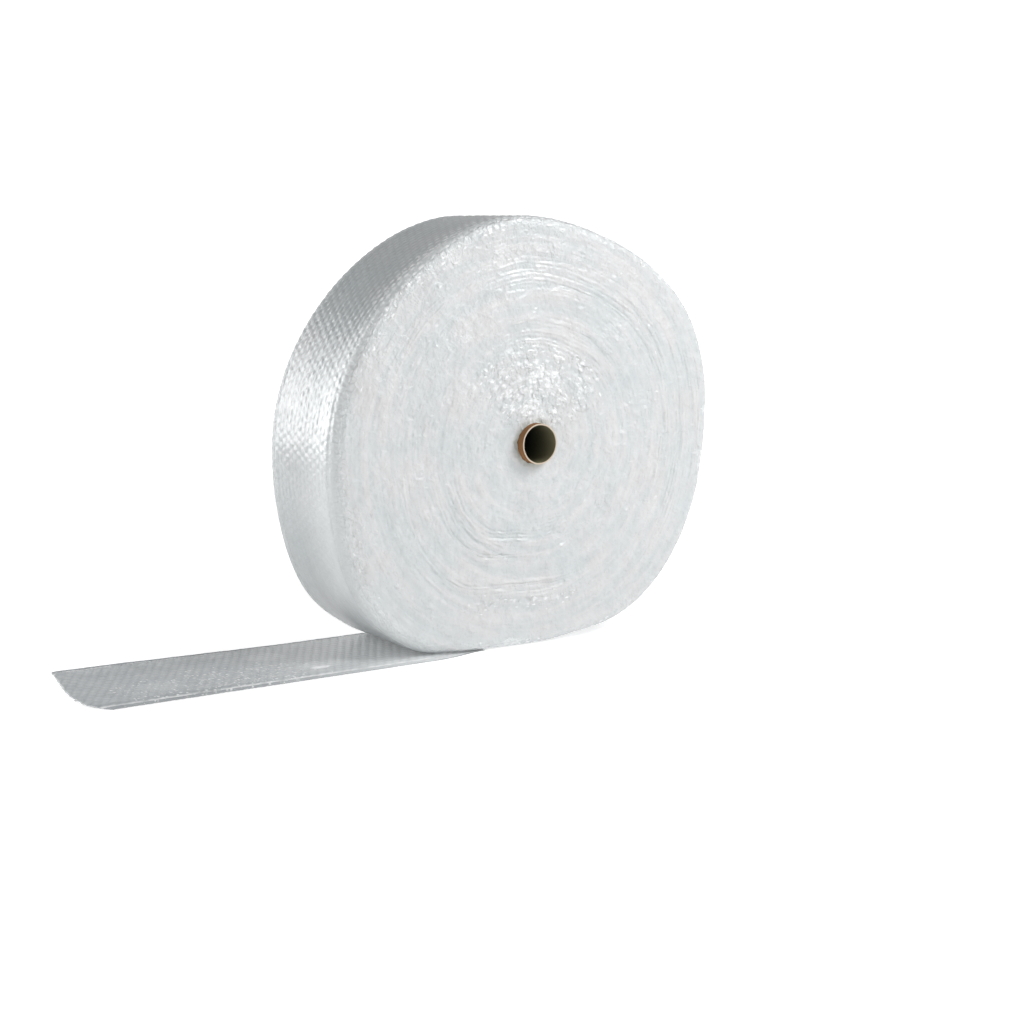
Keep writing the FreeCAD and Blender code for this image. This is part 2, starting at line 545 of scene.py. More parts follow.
@dataclass(frozen=True)
class FilmFinish:
    """Clear film, seen as it looks in one part of the roll."""

    name: str
    cool: Color
    warm: Color
    milky: Color
    milkiness: float = 0.5
    cloud_size: float = 0.08
    grain: float = 0.06
    grain_size: float = 0.007
    banding: float = 0.0
    roughness: float = 0.2
    rough_change: float = 0.08
    index: float = 1.5
    crinkle_size: float = 0.006
    crinkle_amount: float = 0.06
    crushed_boost: float = 0.0
    crushed_tint: Color = (0.5, 0.5, 0.5)
    crushed_share: float = 0.0
    crushed_least: float = 0.12
    crushed_glints: float = 0.6
    crushed_shine: float = 0.5
    crushed_patches: Patches = Patches(38.0, -0.35, 0.3, 0.45, 2.0, 0.5)
    glint_patches: Patches = Patches(1.0 / 0.012, -0.1, 0.35, 0.0, 2.0, 0.5)
    # Painted glints: white dots laid into the colour where creased film would catch the light.
    glint_color: Color = (0.95, 0.96, 0.97)
    glint_size: float = 0.005
    large_glint: float = 1.8
    large_glint_density: float = 0.9
    glint_density: float = 0.0
    glint_share: float = 0.8
    glint_squash: float = 1.0
    glint_run: tuple[float, float] | None = None
    glint_run_full: float = 0.3
    glint_rest: float = 0.2
    glint_sides: tuple[float, float] = (0.05, -0.03)
    # Painted shade in the webs between bubbles.
    bubble_shade: float = 0.0
    web_shade_tone: float = 0.5
    # Painted highlights on the tops of the bubbles near the shoulder.
    bubble_glints: float = 0.0
    bubble_glint_height: tuple[float, float] = (0.6, 1.0)
    bubble_glint_sides: tuple[float, float] = (0.020, 0.082)
    bubble_glint_softness: tuple[float, float] = (0.45, 0.1)
    bubble_glint_patches: Patches = Patches(45.0, -0.30, 0.30, 0.0, 4.0, 0.8)
    # Painted shade on the face in a ring close to the core.
    core_shade: Color | None = None
    core_shade_width: float = 0.010
    # Painted light: a lighter strip along the film's edge, lifting the shade where the rim turns into the
    # face.
    strip: Color | None = None
    strip_light_share: float = 0.7
    strip_soft_light: Color = (0.6, 0.6, 0.6)
    strip_crinkle: float = 0.0
    strip_glints: float = 0.0
    strip_glint_softness: tuple[float, float] = (0.8, 0.2)
    strip_rough: float = 0.0
    strip_patches: Patches = Patches(55.0, -0.5, 0.3, 0.4, 4.0)
    rough_patches: Patches = Patches(90.0, -0.4, 0.2, 0.6)
    # Painted light: lighter film over a stretch of the run, lifting the shade next to where the roll meets
    # the free end.
    painted_fill: Color | None = None
    painted_fill_run: tuple[float, float] = (0.18, 0.50)
    painted_fill_web: float = 0.75
    # Partly the film's tone matched to the edges, partly painted light that lifts the shade on the shoulder,
    # most where it is soft.
    border: Color | None = None
    border_soft_light: Color = (0.6, 0.6, 0.6)
    border_firm: tuple[float, float] = (0.046, 0.093)
    border_soft: tuple[float, float] = (-0.040, 0.086)
    border_lumps: float = 70.0
    border_wander: float = 0.026
    border_glints: float = 0.0
    border_glint_softness: tuple[float, float] = (0.4, 0.0)
    # Painted highlights along creases in the film.
    creases: tuple[CreaseHighlight, ...] = ()
    crease_lumps: float = 60.0
    crease_wander: float = 0.35
    crease_edge: tuple[float, float] = (1.0, 0.45)
    # A painted highlight along the weld line.
    weld: float = 0.0
    weld_highlight_at: float = 0.0885
    weld_highlight_width: float = 0.0012
    weld_highlight_patches: Patches = Patches(22.0, -0.35, 0.1)
    cover: float = 1.0

    def material(self, effects: SharedEffects) -> bpy.types.Material:
        """Builds the material with the effects that the finishes share, and returns it."""
        return FilmPaint(self, effects).build()


class FilmPaint(Paint):
    """A film's material, painted in layers on object coordinates and the piece's own map."""

    def __init__(self, finish: FilmFinish, effects: SharedEffects) -> None:
        """Reads what the piece knows of itself and starts with the haze.

        Args:
            finish: What the film looks like.
            effects: The shader groups.
        """
        super().__init__(finish.name)
        self.film, self.effects = finish, effects
        self.along, self.side, _ = self.split(self.chart)
        self.dome, self.soft, self.seam = (self.mark(name) for name in ("dome", "soft", "strip"))
        self.crushed = self.mark("crushed") * finish.crushed_patches.on(self, self.at)
        self.density: Feed = finish.glint_density
        self.color = effects.haze.placed(
            self, at=self.at, band=self.mark("band"), banding=finish.banding, size=finish.cloud_size,
            grain=finish.grain, grain_size=finish.grain_size, cool=finish.cool, warm=finish.warm,
            milky=finish.milky, milkiness=finish.milkiness)

    def lay(self, share: Feed, tint: Feed) -> None:
        """Lays a tint over the colour so far, by a share."""
        self.color = self.blend(share, self.color, tint)

    def shades(self) -> None:
        """Tints the crushed film, paints shade on the face close to the core, paints light over the stretch
        next to where the roll meets the free end, and paints shade in the webs between bubbles.
        """
        film = self.film
        self.lay(self.crushed * film.crushed_share, film.crushed_tint)
        if film.core_shade:
            # Painted shade: darker close to the core.
            self.lay(self.remap(self.side, film.core_shade_width, 0.0), film.core_shade)
        painted_fill_share: Feed = 0.0
        if film.painted_fill:
            # Painted light over that stretch of the run.
            painted_fill_share = self.remap(self.along, *film.painted_fill_run)
            self.lay(painted_fill_share, film.painted_fill)
        if film.bubble_shade:
            # Painted shade in the webs between the bubbles, weaker where the painted light of the run lies.
            web_shade = (1.0 - self.dome) * (painted_fill_share * (-film.painted_fill_web * film.bubble_shade) + film.bubble_shade)
            self.lay(web_shade, tuple(tone * film.web_shade_tone for tone in film.cool))

    def border(self) -> None:
        """Tints the shoulder, further in where it is soft, with painted glints where the tint ends. The tint
        is partly the film's tone matched to the edges beside it and partly painted light against the
        shoulder's shade.
        """
        film = self.film
        firm = 1.0 - self.soft
        start, end = (firm * tight + self.soft * wide
                      for tight, wide in zip(film.border_firm, film.border_soft))
        wander = self.noise(self.at, film.border_lumps, 4.0, 0.7) * film.border_wander
        share = self.remap(wander - self.side, start, end)
        # Partly matched tone, partly painted light against the shoulder's shade.
        self.lay(share, self.blend(self.soft, film.border, film.border_soft_light))
        # Painted glints where the tint ends.
        rim = share * (1.0 - share)
        fully_firm = self.remap(self.soft, *film.border_glint_softness)
        self.density = rim * (fully_firm * film.border_glints) + self.density

    def strip(self) -> None:
        """Lightens the strip along the film's edge as painted light against the shade where the rim turns
        into the face, most where the shoulder is soft, with painted glints where it is firm.
        """
        film = self.film
        uneven = film.strip_patches.on(self, self.at)
        # Painted light against the shoulder's shade.
        self.lay(self.seam * uneven * film.strip_light_share, self.blend(self.soft, film.strip, film.strip_soft_light))
        # Painted glints where the shoulder is firm.
        firm = self.remap(self.soft, *film.strip_glint_softness)
        self.density = self.seam * firm * film.strip_glints + self.density

    def painted_glints(self) -> None:
        """Scatters small painted glints, and larger ones where the film is crushed."""
        film, group = self.film, self.effects.painted_glints
        if film.glint_run:
            middle, reach = film.glint_run
            there = self.remap(abs(self.along - middle), reach, film.glint_run_full * reach)
            there = there * self.remap(self.side, *film.glint_sides)
            self.density = (there * (1.0 - film.glint_rest) + film.glint_rest) * self.density
        # Small painted glints.
        if film.glint_density:
            drawn = self.vector_math("MULTIPLY", self.chart, (film.glint_squash, 1.0, 1.0))
            density = self.crushed * film.crushed_glints + self.density
            mask = group.placed(self, at=drawn, size=film.glint_size, density=density)
            self.lay(mask * film.glint_share, film.glint_color)
        # Larger painted glints where the film is crushed.
        if film.crushed_share:
            size = film.large_glint * film.glint_size
            mask = group.placed(self, at=self.at, size=size, density=self.crushed * film.large_glint_density)
            self.lay(mask * self.crushed * film.glint_share, film.glint_color)

    def glint_dots(self) -> None:
        """Paints highlights on the tops of the bubbles towards the near edge, where the shoulder is firm."""
        film = self.film
        lit = self.remap(self.dome, *film.bubble_glint_height) * film.bubble_glint_patches.on(self, self.at)
        near = self.remap(-self.side, *film.bubble_glint_sides)
        self.lay(lit * self.remap(self.soft, *film.bubble_glint_softness) * near * film.bubble_glints, film.glint_color)

    def lines(self) -> None:
        """Paints highlights along the creases and along the weld line."""
        film = self.film
        for crease_highlight in film.creases:
            lengthwise = (self.along - crease_highlight.along) / crease_highlight.reach
            sideways = (self.side - crease_highlight.side) / crease_highlight.width
            wander = self.noise(self.at, film.crease_lumps, 3.0, 0.7) * film.crease_wander
            off = self.length(self.combined(lengthwise, sideways, 0.0)) + wander
            # Painted highlight along the crease.
            self.lay(self.remap(off, *film.crease_edge, 0.0, crease_highlight.strength), film.glint_color)
        if film.weld:
            # Painted highlight along the weld line.
            off = abs(abs(self.side) - film.weld_highlight_at)
            share = self.remap(off, film.weld_highlight_width, 0.0) * film.weld_highlight_patches.on(self, self.at)
            self.lay(share * film.weld, film.glint_color)

    def build(self) -> bpy.types.Material:
        """Paints the layers in order and sets how the surface shines.

        Returns:
            The finished material.
        """
        film = self.film
        self.shades()
        if film.border:
            self.border()
        if film.strip:
            self.strip()
        self.painted_glints()
        if film.bubble_glints:
            self.glint_dots()
        self.lines()
        amount = self.seam * film.strip_crinkle + film.crinkle_amount
        rough = self.noise(self.at, 1.0 / film.cloud_size, 3.0) * film.rough_change + film.roughness
        if film.strip_rough:
            rough = self.seam * film.rough_patches.on(self, self.at) * film.strip_rough + rough
        if film.crushed_boost:
            crushed = self.math("MAXIMUM", self.crushed, film.crushed_least)
            crushed = crushed * film.glint_patches.on(self, self.at)
            amount = crushed * film.crushed_boost + amount
            rough = crushed * (-film.crushed_shine * film.roughness) + rough
        height = self.effects.crinkle.placed(self, at=self.at, size=film.crinkle_size, amount=amount)
        feeds = {"Base Color": self.color, "Roughness": rough, "IOR": film.index, "Alpha": film.cover}
        return self.finish(feeds, height)


@dataclass(frozen=True)
class CardboardFinish:
    """Brown paper board, lighter where it was cut, with painted shade turning the bore near black deep inside
    the tube.
    """

    name: str
    face: Color
    dark: Color
    cut: Color
    inside: Color
    # Painted shade: the bore's colour deep inside the tube.
    deep: Color
    fibre_size: float = 0.0012
    fibre_stretch: float = 0.35
    blotches: float = 60.0
    fibre_tone: float = 0.35
    blotch_tone: float = 0.4
    seam_tone: float = 0.6
    cut_change: float = 0.15
    roughness: float = 0.82
    rough_change: float = 0.06
    bump: float = 0.00006

    def material(self) -> bpy.types.Material:
        """Builds the material on the core's own marks.

        Returns:
            The finished material.
        """
        paint = Paint(self.name)
        seam, cut, bore, depth = (paint.mark(name) for name in ("seam", "cut", "bore", "depth"))
        stretched = paint.vector_math("MULTIPLY", paint.at, (1.0, self.fibre_stretch, 1.0))
        fibre = paint.noise(stretched, 1.0 / self.fibre_size, 3.0, 0.6)
        blotch = paint.noise(paint.at, self.blotches, 3.0, 0.6)
        tone = paint.remap(fibre * self.fibre_tone + blotch * self.blotch_tone + 0.5, 0.0, 1.0)
        color = paint.blend(seam * self.seam_tone, paint.blend(tone, self.dark, self.face), self.dark)
        # Painted shade: the bore goes from the inside paper's colour to near black with depth.
        color = paint.blend(bore, color, paint.blend(depth, self.inside, self.deep))
        color = paint.blend(cut * (fibre * self.cut_change + (1.0 - self.cut_change)), color, self.cut)
        feeds = {"Base Color": color, "Roughness": fibre * self.rough_change + self.roughness}
        return paint.finish(feeds, (fibre + blotch) * self.bump)


def linked(item: bpy.types.Object) -> bpy.types.Object:
    """Puts an object in the scene and returns it."""
    bpy.context.scene.collection.objects.link(item)
    return item


def mesh_of(name: str, points: np.ndarray, faces: list[tuple[int, ...]] | np.ndarray,
            edges: list[tuple[int, int]] | None = None) -> bpy.types.Mesh:
    """Makes a smooth mesh.

    Args:
        name: The mesh's name.
        points: One row of three numbers for each vertex.
        faces: The vertices of each face, in order.
        edges: Loose edges, where the mesh is only a line.

    Returns:
        The new mesh.
    """
    mesh = bpy.data.meshes.new(name)
    rows = faces.tolist() if isinstance(faces, np.ndarray) else faces
    mesh.from_pydata(np.asarray(points).tolist(), edges or [], rows)
    mesh.polygons.foreach_set("use_smooth", [True] * len(mesh.polygons))
    mesh.update()
    return mesh


def line_mesh(name: str, points: np.ndarray) -> bpy.types.Mesh:
    """Makes a mesh of one open line through points, and returns it."""
    return mesh_of(name, points, [], [(i, i + 1) for i in range(len(points) - 1)])


def finished(piece: bpy.types.Object, slot: Slot, *nodes: str) -> bpy.types.Object:
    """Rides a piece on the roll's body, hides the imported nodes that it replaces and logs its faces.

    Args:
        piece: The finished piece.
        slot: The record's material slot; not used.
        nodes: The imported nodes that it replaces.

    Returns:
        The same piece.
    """
    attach(piece, BODY)
    if nodes:
        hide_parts(*nodes)
    LOG.info("%s: %d faces", piece.name, len(piece.data.polygons))
    return piece


def mark_points(mesh: bpy.types.Mesh, marks: dict[str, np.ndarray]) -> None:
    """Keeps values on a mesh's points.

    Args:
        mesh: The mesh.
        marks: The values under each name, one number or one direction for each point.
    """
    for name, data in marks.items():
        kind, key = ("FLOAT", "value") if data.size == len(mesh.vertices) else ("FLOAT_VECTOR", "vector")
        mesh.attributes.new(name, kind, "POINT").data.foreach_set(key, data.astype(np.float32).ravel())


def points_of(mesh: bpy.types.Mesh) -> np.ndarray:
    """Reads where a mesh's vertices are.

    Args:
        mesh: The mesh.

    Returns:
        One row of three numbers for each vertex.
    """
    points = np.empty(len(mesh.vertices) * 3, np.float32)
    mesh.vertices.foreach_get("co", points)
    return points.reshape(-1, 3)


def move_points(mesh: bpy.types.Mesh, points: np.ndarray) -> None:
    """Moves a mesh's vertices.

    Args:
        mesh: The mesh.
        points: Where each vertex goes.
    """
    mesh.vertices.foreach_set("co", points.astype(np.float32).ravel())
    mesh.update()


def eased(share: np.ndarray) -> np.ndarray:
    """Turns an even rise from 0 to 1 into one that starts and ends gently."""
    return share * share * (3 - 2 * share)


@dataclass
class RollOutline:
    """The roll's outline round the core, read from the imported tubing."""

    inside: float = 0.05
    steps: int = 1440
    ease: float = 3.0
    tail_thickness: float = 0.0052
    clearance: float = 0.0002
    tail_from: float = -0.13
    tail_to: float = -0.05
    crown: float = 0.0025
    firm_shoulder: float = 0.014
    soft_shoulder: float = 0.032
    soft_angle: float = 208.0
    soft_spread: float = 2.5
    pressed: float = 0.8
    pressed_from: float = 172.0
    pressed_to: float = 290.0
    pressed_ramp: float = 28.0
    overlap: float = 0.034
    overlap_inset: float = 0.0005
    node: str = "bubble_tubing"
    core: str = "core_tube"

    def __post_init__(self) -> None:
        """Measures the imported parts."""
        low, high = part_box(self.core)
        self.axis = Vector(((low.x + high.x) / 2, 0.0, (low.z + high.z) / 2))
        self.core_radius = (high.z - low.z) / 2
        self.core_ends = (low.y, high.y)
        self.low, self.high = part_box(self.node)
        tree = BVHTree.FromObject(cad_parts[self.node], bpy.context.evaluated_depsgraph_get())
        self.angles = np.arange(self.steps) * WHOLE_TURN / self.steps
        self.radii = self.rounded(np.array([self.reach(tree, a) for a in self.angles]))
        self.half_width = self.face_of(tree)
        self.lap_angle = math.atan2(-self.axis.z, self.tail_to) % WHOLE_TURN

    def reach(self, tree: BVHTree, angle: float) -> float:
        """Distance from the core's axis to the outline at an angle in radians.

        Args:
            tree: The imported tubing's faces.
            angle: The direction to look in.

        Returns:
            The distance in metres.
        """
        along = Vector((math.cos(angle), 0.0, math.sin(angle)))
        hit = tree.ray_cast(self.axis + along * self.inside, along)
        return hit[3] + self.inside

    def face_of(self, tree: BVHTree) -> float:
        """Half the width of the wound roll, from a ray along the axis beside the core."""
        start = self.axis + Vector((self.inside * 2, 0.0, 0.0))
        return tree.ray_cast(start, Vector((0.0, -1.0, 0.0)))[3]

    def rounded(self, radii: np.ndarray) -> np.ndarray:
        """Rounds the corners of the outline, as soft film does.

        Args:
            radii: The outline's radii at even angles.

        Returns:
            The rounded radii.
        """
        spread = self.ease * self.steps / 360.0
        offsets = np.arange(-round(3 * spread), round(3 * spread) + 1)
        weights = np.exp(-0.5 * (offsets / spread) ** 2)
        return sum(w * np.roll(radii, k) for w, k in zip(weights / weights.sum(), offsets))

    def ground(self, across: np.ndarray) -> np.ndarray:
        """The height that the wound turns rest on: the free end where it runs under them, then the floor.

        Args:
            across: Places along X.

        Returns:
            The height at each place.
        """
        share = np.clip((self.tail_to - across) / (self.tail_to - self.tail_from), 0.0, 1.0)
        return self.clearance + self.tail_thickness * eased(share)

    def radius(self, angles: np.ndarray) -> np.ndarray:
        """Distances from the axis to the outline at angles in radians."""
        return np.interp(np.mod(angles, WHOLE_TURN), self.angles, self.radii, period=WHOLE_TURN)

    def softness(self, angles: np.ndarray) -> np.ndarray:
        """How far the near shoulder is from firm, at 0, to soft, at 1, at angles in radians."""
        return np.maximum(np.cos(angles - math.radians(self.soft_angle)), 0.0) ** self.soft_spread

    def fullness(self, angles: np.ndarray) -> np.ndarray:
        """How full the last turn's bubbles are, which is least where they are pressed.

        Args:
            angles: Angles in radians.

        Returns:
            A number from 0 to 1 for each.
        """
        angles = np.mod(np.degrees(angles), 360.0)
        begun = np.clip((angles - self.pressed_from) / self.pressed_ramp, 0.0, 1.0)
        ended = np.clip((self.pressed_to - angles) / self.pressed_ramp, 0.0, 1.0)
        return 1.0 - self.pressed * begun * ended

    def path(self, inset: float) -> tuple[np.ndarray, np.ndarray]:
        """The outline as a line, from where it rests on the free end, up and over to just past its own start.

        Args:
            inset: How far inside the outline the line runs.

        Returns:
            One row of three numbers for each point, and each point's angle in radians.
        """
        turned = np.linspace(-self.overlap, WHOLE_TURN, self.steps)
        angles = self.lap_angle - turned
        covered = np.clip(-turned / self.overlap, 0.0, 1.0)
        radii = self.radius(angles) - inset - self.overlap_inset * covered
        points = np.stack([self.axis.x + radii * np.cos(angles), np.zeros_like(radii),
                           self.axis.z + radii * np.sin(angles)], axis=1)
        return points, angles


class BubbleCell:
    """One hexagon of film with a domed bubble in it, which tiles the film."""

    SIDES = 12
    STRAIGHT = 0.99
    SHARPNESS = 4

    def __init__(self, pitch: float, diameter: float, rings: tuple[tuple[float, float], ...],
                 bridge: float, toward: float) -> None:
        """Builds the cell.

        Args:
            pitch: The distance between neighbouring bubbles.
            diameter: The bubble's diameter at its foot.
            rings: Each ring's share of the bubble's radius and of its height.
            bridge: How high the film is pulled up between neighbours in a row, as a share of the height.
            toward: Which way those rows run, in degrees from across the film.
        """
        aim = math.radians(toward)
        turns = np.arange(self.SIDES) * WHOLE_TURN / self.SIDES
        corner = pitch / math.sqrt(3)
        points = [(0.0, 0.0, 1.0)]
        for share, height in rings:
            ring = share * diameter / 2
            points += [(ring * math.sin(a), ring * math.cos(a),
                        max(height, bridge * math.cos(a - aim) ** self.SHARPNESS)) for a in turns]
        for number, a in enumerate(turns):
            reach = corner if number % 2 == 0 else corner * math.cos(math.pi / 6)
            between = bridge if abs(math.cos(a - aim)) > self.STRAIGHT else 0.0
            points.append((reach * math.sin(a), reach * math.cos(a), between))
        faces: list[tuple[int, ...]] = []
        count = self.SIDES
        for i in range(count):
            faces.append((0, 1 + (i + 1) % count, 1 + i))
        for ring in range(len(rings)):
            inner, outer = 1 + ring * count, 1 + (ring + 1) * count
            for i in range(count):
                j = (i + 1) % count
                faces.append((inner + i, inner + j, outer + j, outer + i))
        mesh = mesh_of("bubble_cell", np.array(points), faces)
        mark_points(mesh, {"dome": np.array(points)[:, 2]})
        self.item = bpy.data.objects.new("bubble_cell", mesh)


@dataclass
class BubbleFilm:
    """Bubble film laid along a path, with a cross-section of its own."""

    pitch: float = 0.0121
    diameter: float = 0.0102
    field_width: float = 0.186
    margin: float = 0.007
    bead: float = 0.0001
    bead_width: float = 0.002
    rings: tuple[tuple[float, float], ...] = ((0.62, 0.85), (1.0, 0.0))
    bridge: float = 0.70
    toward: float = 90.0
    fade: float = 0.008
    merge: float = 0.0002
    strip_width: float = 0.028
    crease_width: float = 0.016
    spare_rows: float = 0.35
    full_lumps: float = 70.0
    full_change: float = 0.7
    pucker_lumps: float = 130.0
    pucker_share: float = 0.3
    slack_lumps: float = 22.0
    crease_lumps: float = 120.0

    def __post_init__(self) -> None:
        """Builds the tree and the cell once for all the film."""
        self.cell = BubbleCell(self.pitch, self.diameter, self.rings, self.bridge, self.toward)
        self.recipe = self.build()

    def flat(self, tree: Recipe, limit: Wire, margin: Wire) -> Wire:
        """Lays a hexagonal lattice of cells flat, trimmed to the field, with a plain margin along each side.

        Args:
            tree: The recipe.
            limit: Half the width of the field of bubbles.
            margin: The width of each margin.

        Returns:
            The flat film.
        """
        pitch, row_pitch, fade = tree.numbers("Pitch", "Row pitch", "Fade")
        columns, rows = tree.numbers("Columns", "Rows", kind=int)
        length, width = (columns - 1.0) * pitch, (rows - 1.0) * row_pitch
        feeds = {"Size X": length, "Size Y": width, "Vertices X": columns, "Vertices Y": rows}
        lattice = tree.wire("GeometryNodeMeshGrid", feeds)
        x, y, _ = tree.split(tree.place())
        row = tree.math("ROUND", (width * 0.5 + y) / row_pitch)
        along = x + tree.math("MODULO", row, 2.0) * (pitch * 0.5) + length * 0.5 + pitch * 0.25
        placed = tree.moved(lattice, "Position", tree.combined(along, y, 0.0))
        glint_dots = tree.wire("GeometryNodeInstanceOnPoints", {"Points": placed, "Instance": tree.thing("Cell")})
        real = tree.wire("GeometryNodeRealizeInstances", {"Geometry": glint_dots})
        cells = tree.wire("GeometryNodeMergeByDistance", {"Geometry": real, "Distance": self.merge})

        whole = columns * pitch
        u, v, h = tree.split(tree.place())
        h = h * tree.remap(abs(v), limit, limit - fade)
        v = tree.math("MAXIMUM", tree.math("MINIMUM", v, limit), -limit)
        u = tree.math("MAXIMUM", tree.math("MINIMUM", u, whole), 0.0)
        trimmed = tree.moved(cells, "Position", tree.combined(u, v, h))
        joined = tree.add("GeometryNodeJoinGeometry", {0: trimmed})
        feeds = {"Size X": whole, "Size Y": margin, "Vertices X": columns * 4.0 + 1.0, "Vertices Y": 4}
        strip = tree.wire("GeometryNodeMeshGrid", feeds)
        for sign in (-1.0, 1.0):
            middle = tree.combined(whole * 0.5, (margin * 0.5 + limit) * sign, 0.0)
            side = tree.wire("GeometryNodeTransform", {"Geometry": strip, "Translation": middle})
            tree.feed(joined.inputs[0], side)
        return Wire(tree, joined.outputs[0])

    def lift(self, tree: Recipe, place: tuple[Wire, ...], limit: Wire, margin: Wire, fullness: Wire) -> Wire:
        """Works out how far each point stands out of the film.

        Args:
            tree: The recipe.
            place: The point's place along and across the flat film, and its height as a share of a bubble's.
            limit: Half the width of the field of bubbles.
            margin: The width of each margin.
            fullness: How full the bubbles are there.

        Returns:
            The distance in metres.
        """
        u, v, h = place
        height, slack, crinkle, bead, dip, seed = tree.numbers(
            "Bubble height", "Slack", "Crinkle", "Bead", "Dip", "Seed")
        spread, past = tree.combined(u, v, seed), abs(v) - limit
        full = (tree.noise(spread, self.full_lumps, 1.0) * self.full_change + 1.0) * fullness
        pucker = tree.noise(spread, self.pucker_lumps, 1.0) * (height * self.pucker_share)
        bubbles = (h * height + pucker) * full
        loose = tree.noise(spread, self.slack_lumps) * (slack * 0.5)
        near_edge = tree.remap(past, -self.crease_width, 0.0)
        creases = tree.noise(spread, self.crease_lumps, 2.0, 0.6) * (near_edge * crinkle)
        beads = tree.remap(abs(past), self.bead_width, 0.0) * bead
        turned_in = tree.remap(past, self.bead_width, margin) * dip
        return bubbles + loose + creases + beads - turned_in

    def build(self) -> Recipe:
        """Builds the tree: flat film, bent over the path and the section.

        Returns:
            The finished recipe.
        """
        tree = Recipe("bubble_film")
        limit, margin = tree.numbers("Half field", "Margin")
        film = self.flat(tree, limit, margin)
        u, v, h = tree.split(tree.place())
        film = tree.store(film, "UVMap", tree.combined(u, v, 0.0), data_type="FLOAT2", domain="CORNER")
        film = tree.store(film, "strip", tree.remap(abs(v), limit - self.strip_width, limit))
        path = tree.curve(tree.geometry)
        place, forward, softness = tree.sampled(path, u, tree.mark("softness"))
        film = tree.store(film, "soft", softness)
        fullness = tree.sampled(path, u, tree.mark("fullness"))[2]
        lift = self.lift(tree, (u, v, h), limit, margin, fullness)
        halves = tree.numbers("Half firm", "Half soft")
        firm, soft = (tree.sampled(tree.curve(tree.thing(name)), v + half)
                      for name, half in zip(("Firm section", "Soft section"), halves))
        spot, run = (tree.wire("ShaderNodeMix", {0: softness, 4: one, 5: other}, 1, data_type="VECTOR")
                     for one, other in zip(firm[:2], soft[:2]))
        side = (0.0, 1.0, 0.0)
        out = tree.vector_math("CROSS_PRODUCT", forward, side)
        side_at, out_at, _ = tree.split(spot)
        side_run, out_run, _ = tree.split(tree.vector_math("NORMALIZE", run))
        for way, reach in ((side, side_at - out_run * lift), (out, side_run * lift + out_at)):
            place = tree.vector_math("ADD", place, tree.scaled(way, reach))
        tree.finish(tree.moved(film, "Position", place))
        return tree

    def lay(self, name: str, path: np.ndarray, sections: tuple[np.ndarray, np.ndarray],
            marks: dict[str, np.ndarray], values: dict[str, object]) -> bpy.types.Object:
        """Lays film along a path.

        Args:
            name: The piece's name.
            path: The points of the line that the film follows.
            sections: The film's firm and soft cross-sections, as rows of side and height.
            marks: At each point of the path, how much of the soft one there is, and how full the bubbles are.
            values: The recipe's other inputs, such as the bubbles' height, and the material.

        Returns:
            The piece, as a plain mesh.
        """
        length = float(np.linalg.norm(np.diff(path, axis=0), axis=1).sum())
        columns = max(2, round(length / self.pitch))
        rows = math.ceil(self.field_width / (self.pitch * math.sqrt(3) / 2))
        cell = linked(self.cell.item)
        cell.scale = (length / columns / self.pitch, 1.0, 1.0)
        values = values | {
            "Cell": cell, "Pitch": length / columns, "Columns": columns, "Rows": rows,
            "Row pitch": self.field_width / (rows - self.spare_rows), "Half field": self.field_width / 2,
            "Margin": self.margin, "Bead": self.bead, "Fade": self.fade,
        }
        helpers = []
        for kind, section in zip(("firm", "soft"), sections):
            near = section[:np.argmax(section[:, 0] > 0.0)]
            values[f"Half {kind}"] = float(np.linalg.norm(np.diff(near, axis=0), axis=1).sum() - near[-1, 0])
            line = line_mesh("film_section", np.column_stack([section, np.zeros(len(section))]))
            helpers.append(linked(bpy.data.objects.new("film_section", line)))
            values[f"{kind.title()} section"] = helpers[-1]
        bpy.context.view_layer.update()
        line = line_mesh(name + "_path", path)
        mark_points(line, marks)
        piece = self.recipe.apply(line, name, values)
        bpy.context.scene.collection.objects.unlink(cell)
        for helper in helpers:
            bpy.data.objects.remove(helper)
        return piece


@dataclass
class OuterTurn:
    """The last turn of tubing round the roll, with its bubbles showing."""

    outline: RollOutline
    film: BubbleFilm
    bubble_height: float = 0.0009
    slack: float = 0.0009
    crinkle: float = 0.0011
    dip: float = 0.0009
    seed: float = 4.0
    bend_steps: int = 16

    def side_section(self, shoulder: float) -> np.ndarray:
        """Half of the film's cross-section: flat across the rim, then rounded down over a shoulder.

        Args:
            shoulder: How far in from the side the shoulder starts, which is its height too.

        Returns:
            One row of side and height for each point, from the rim to the side.
        """
        flat = self.outline.half_width - shoulder
        bends = np.linspace(0.0, math.pi / 2, self.bend_steps)
        side = flat + (shoulder - self.outline.crown) * np.sin(bends)
        drop = shoulder * (np.cos(bends) - 1.0)
        below = [[side[-1], -self.outline.soft_shoulder - self.outline.firm_shoulder]]
        return np.vstack([np.column_stack([side, drop]), below])

    def section(self, near: float, far: float) -> np.ndarray:
        """The film's whole cross-section, from the near side to the far side, with a shoulder at each."""
        return np.vstack([self.side_section(near)[::-1] * (-1.0, 1.0), self.side_section(far)])

    def build(self, material: bpy.types.Material) -> bpy.types.Object:
        """Builds the turn.

        Args:
            material: The film's material.

        Returns:
            The finished piece.
        """
        path, angles = self.outline.path(self.bubble_height)
        firm, soft = self.outline.firm_shoulder, self.outline.soft_shoulder
        marks = {"softness": self.outline.softness(angles), "fullness": self.outline.fullness(angles)}
        values = {"Bubble height": self.bubble_height, "Slack": self.slack, "Crinkle": self.crinkle,
                  "Dip": self.dip, "Seed": self.seed, "Material": material}
        sections = (self.section(firm, firm), self.section(soft, firm))
        piece = self.film.lay("outer_turn", path, sections, marks, values)
        rest_on_ground(piece, self.outline)
        return finished(piece, Slot.FILM, "bubble_tubing")


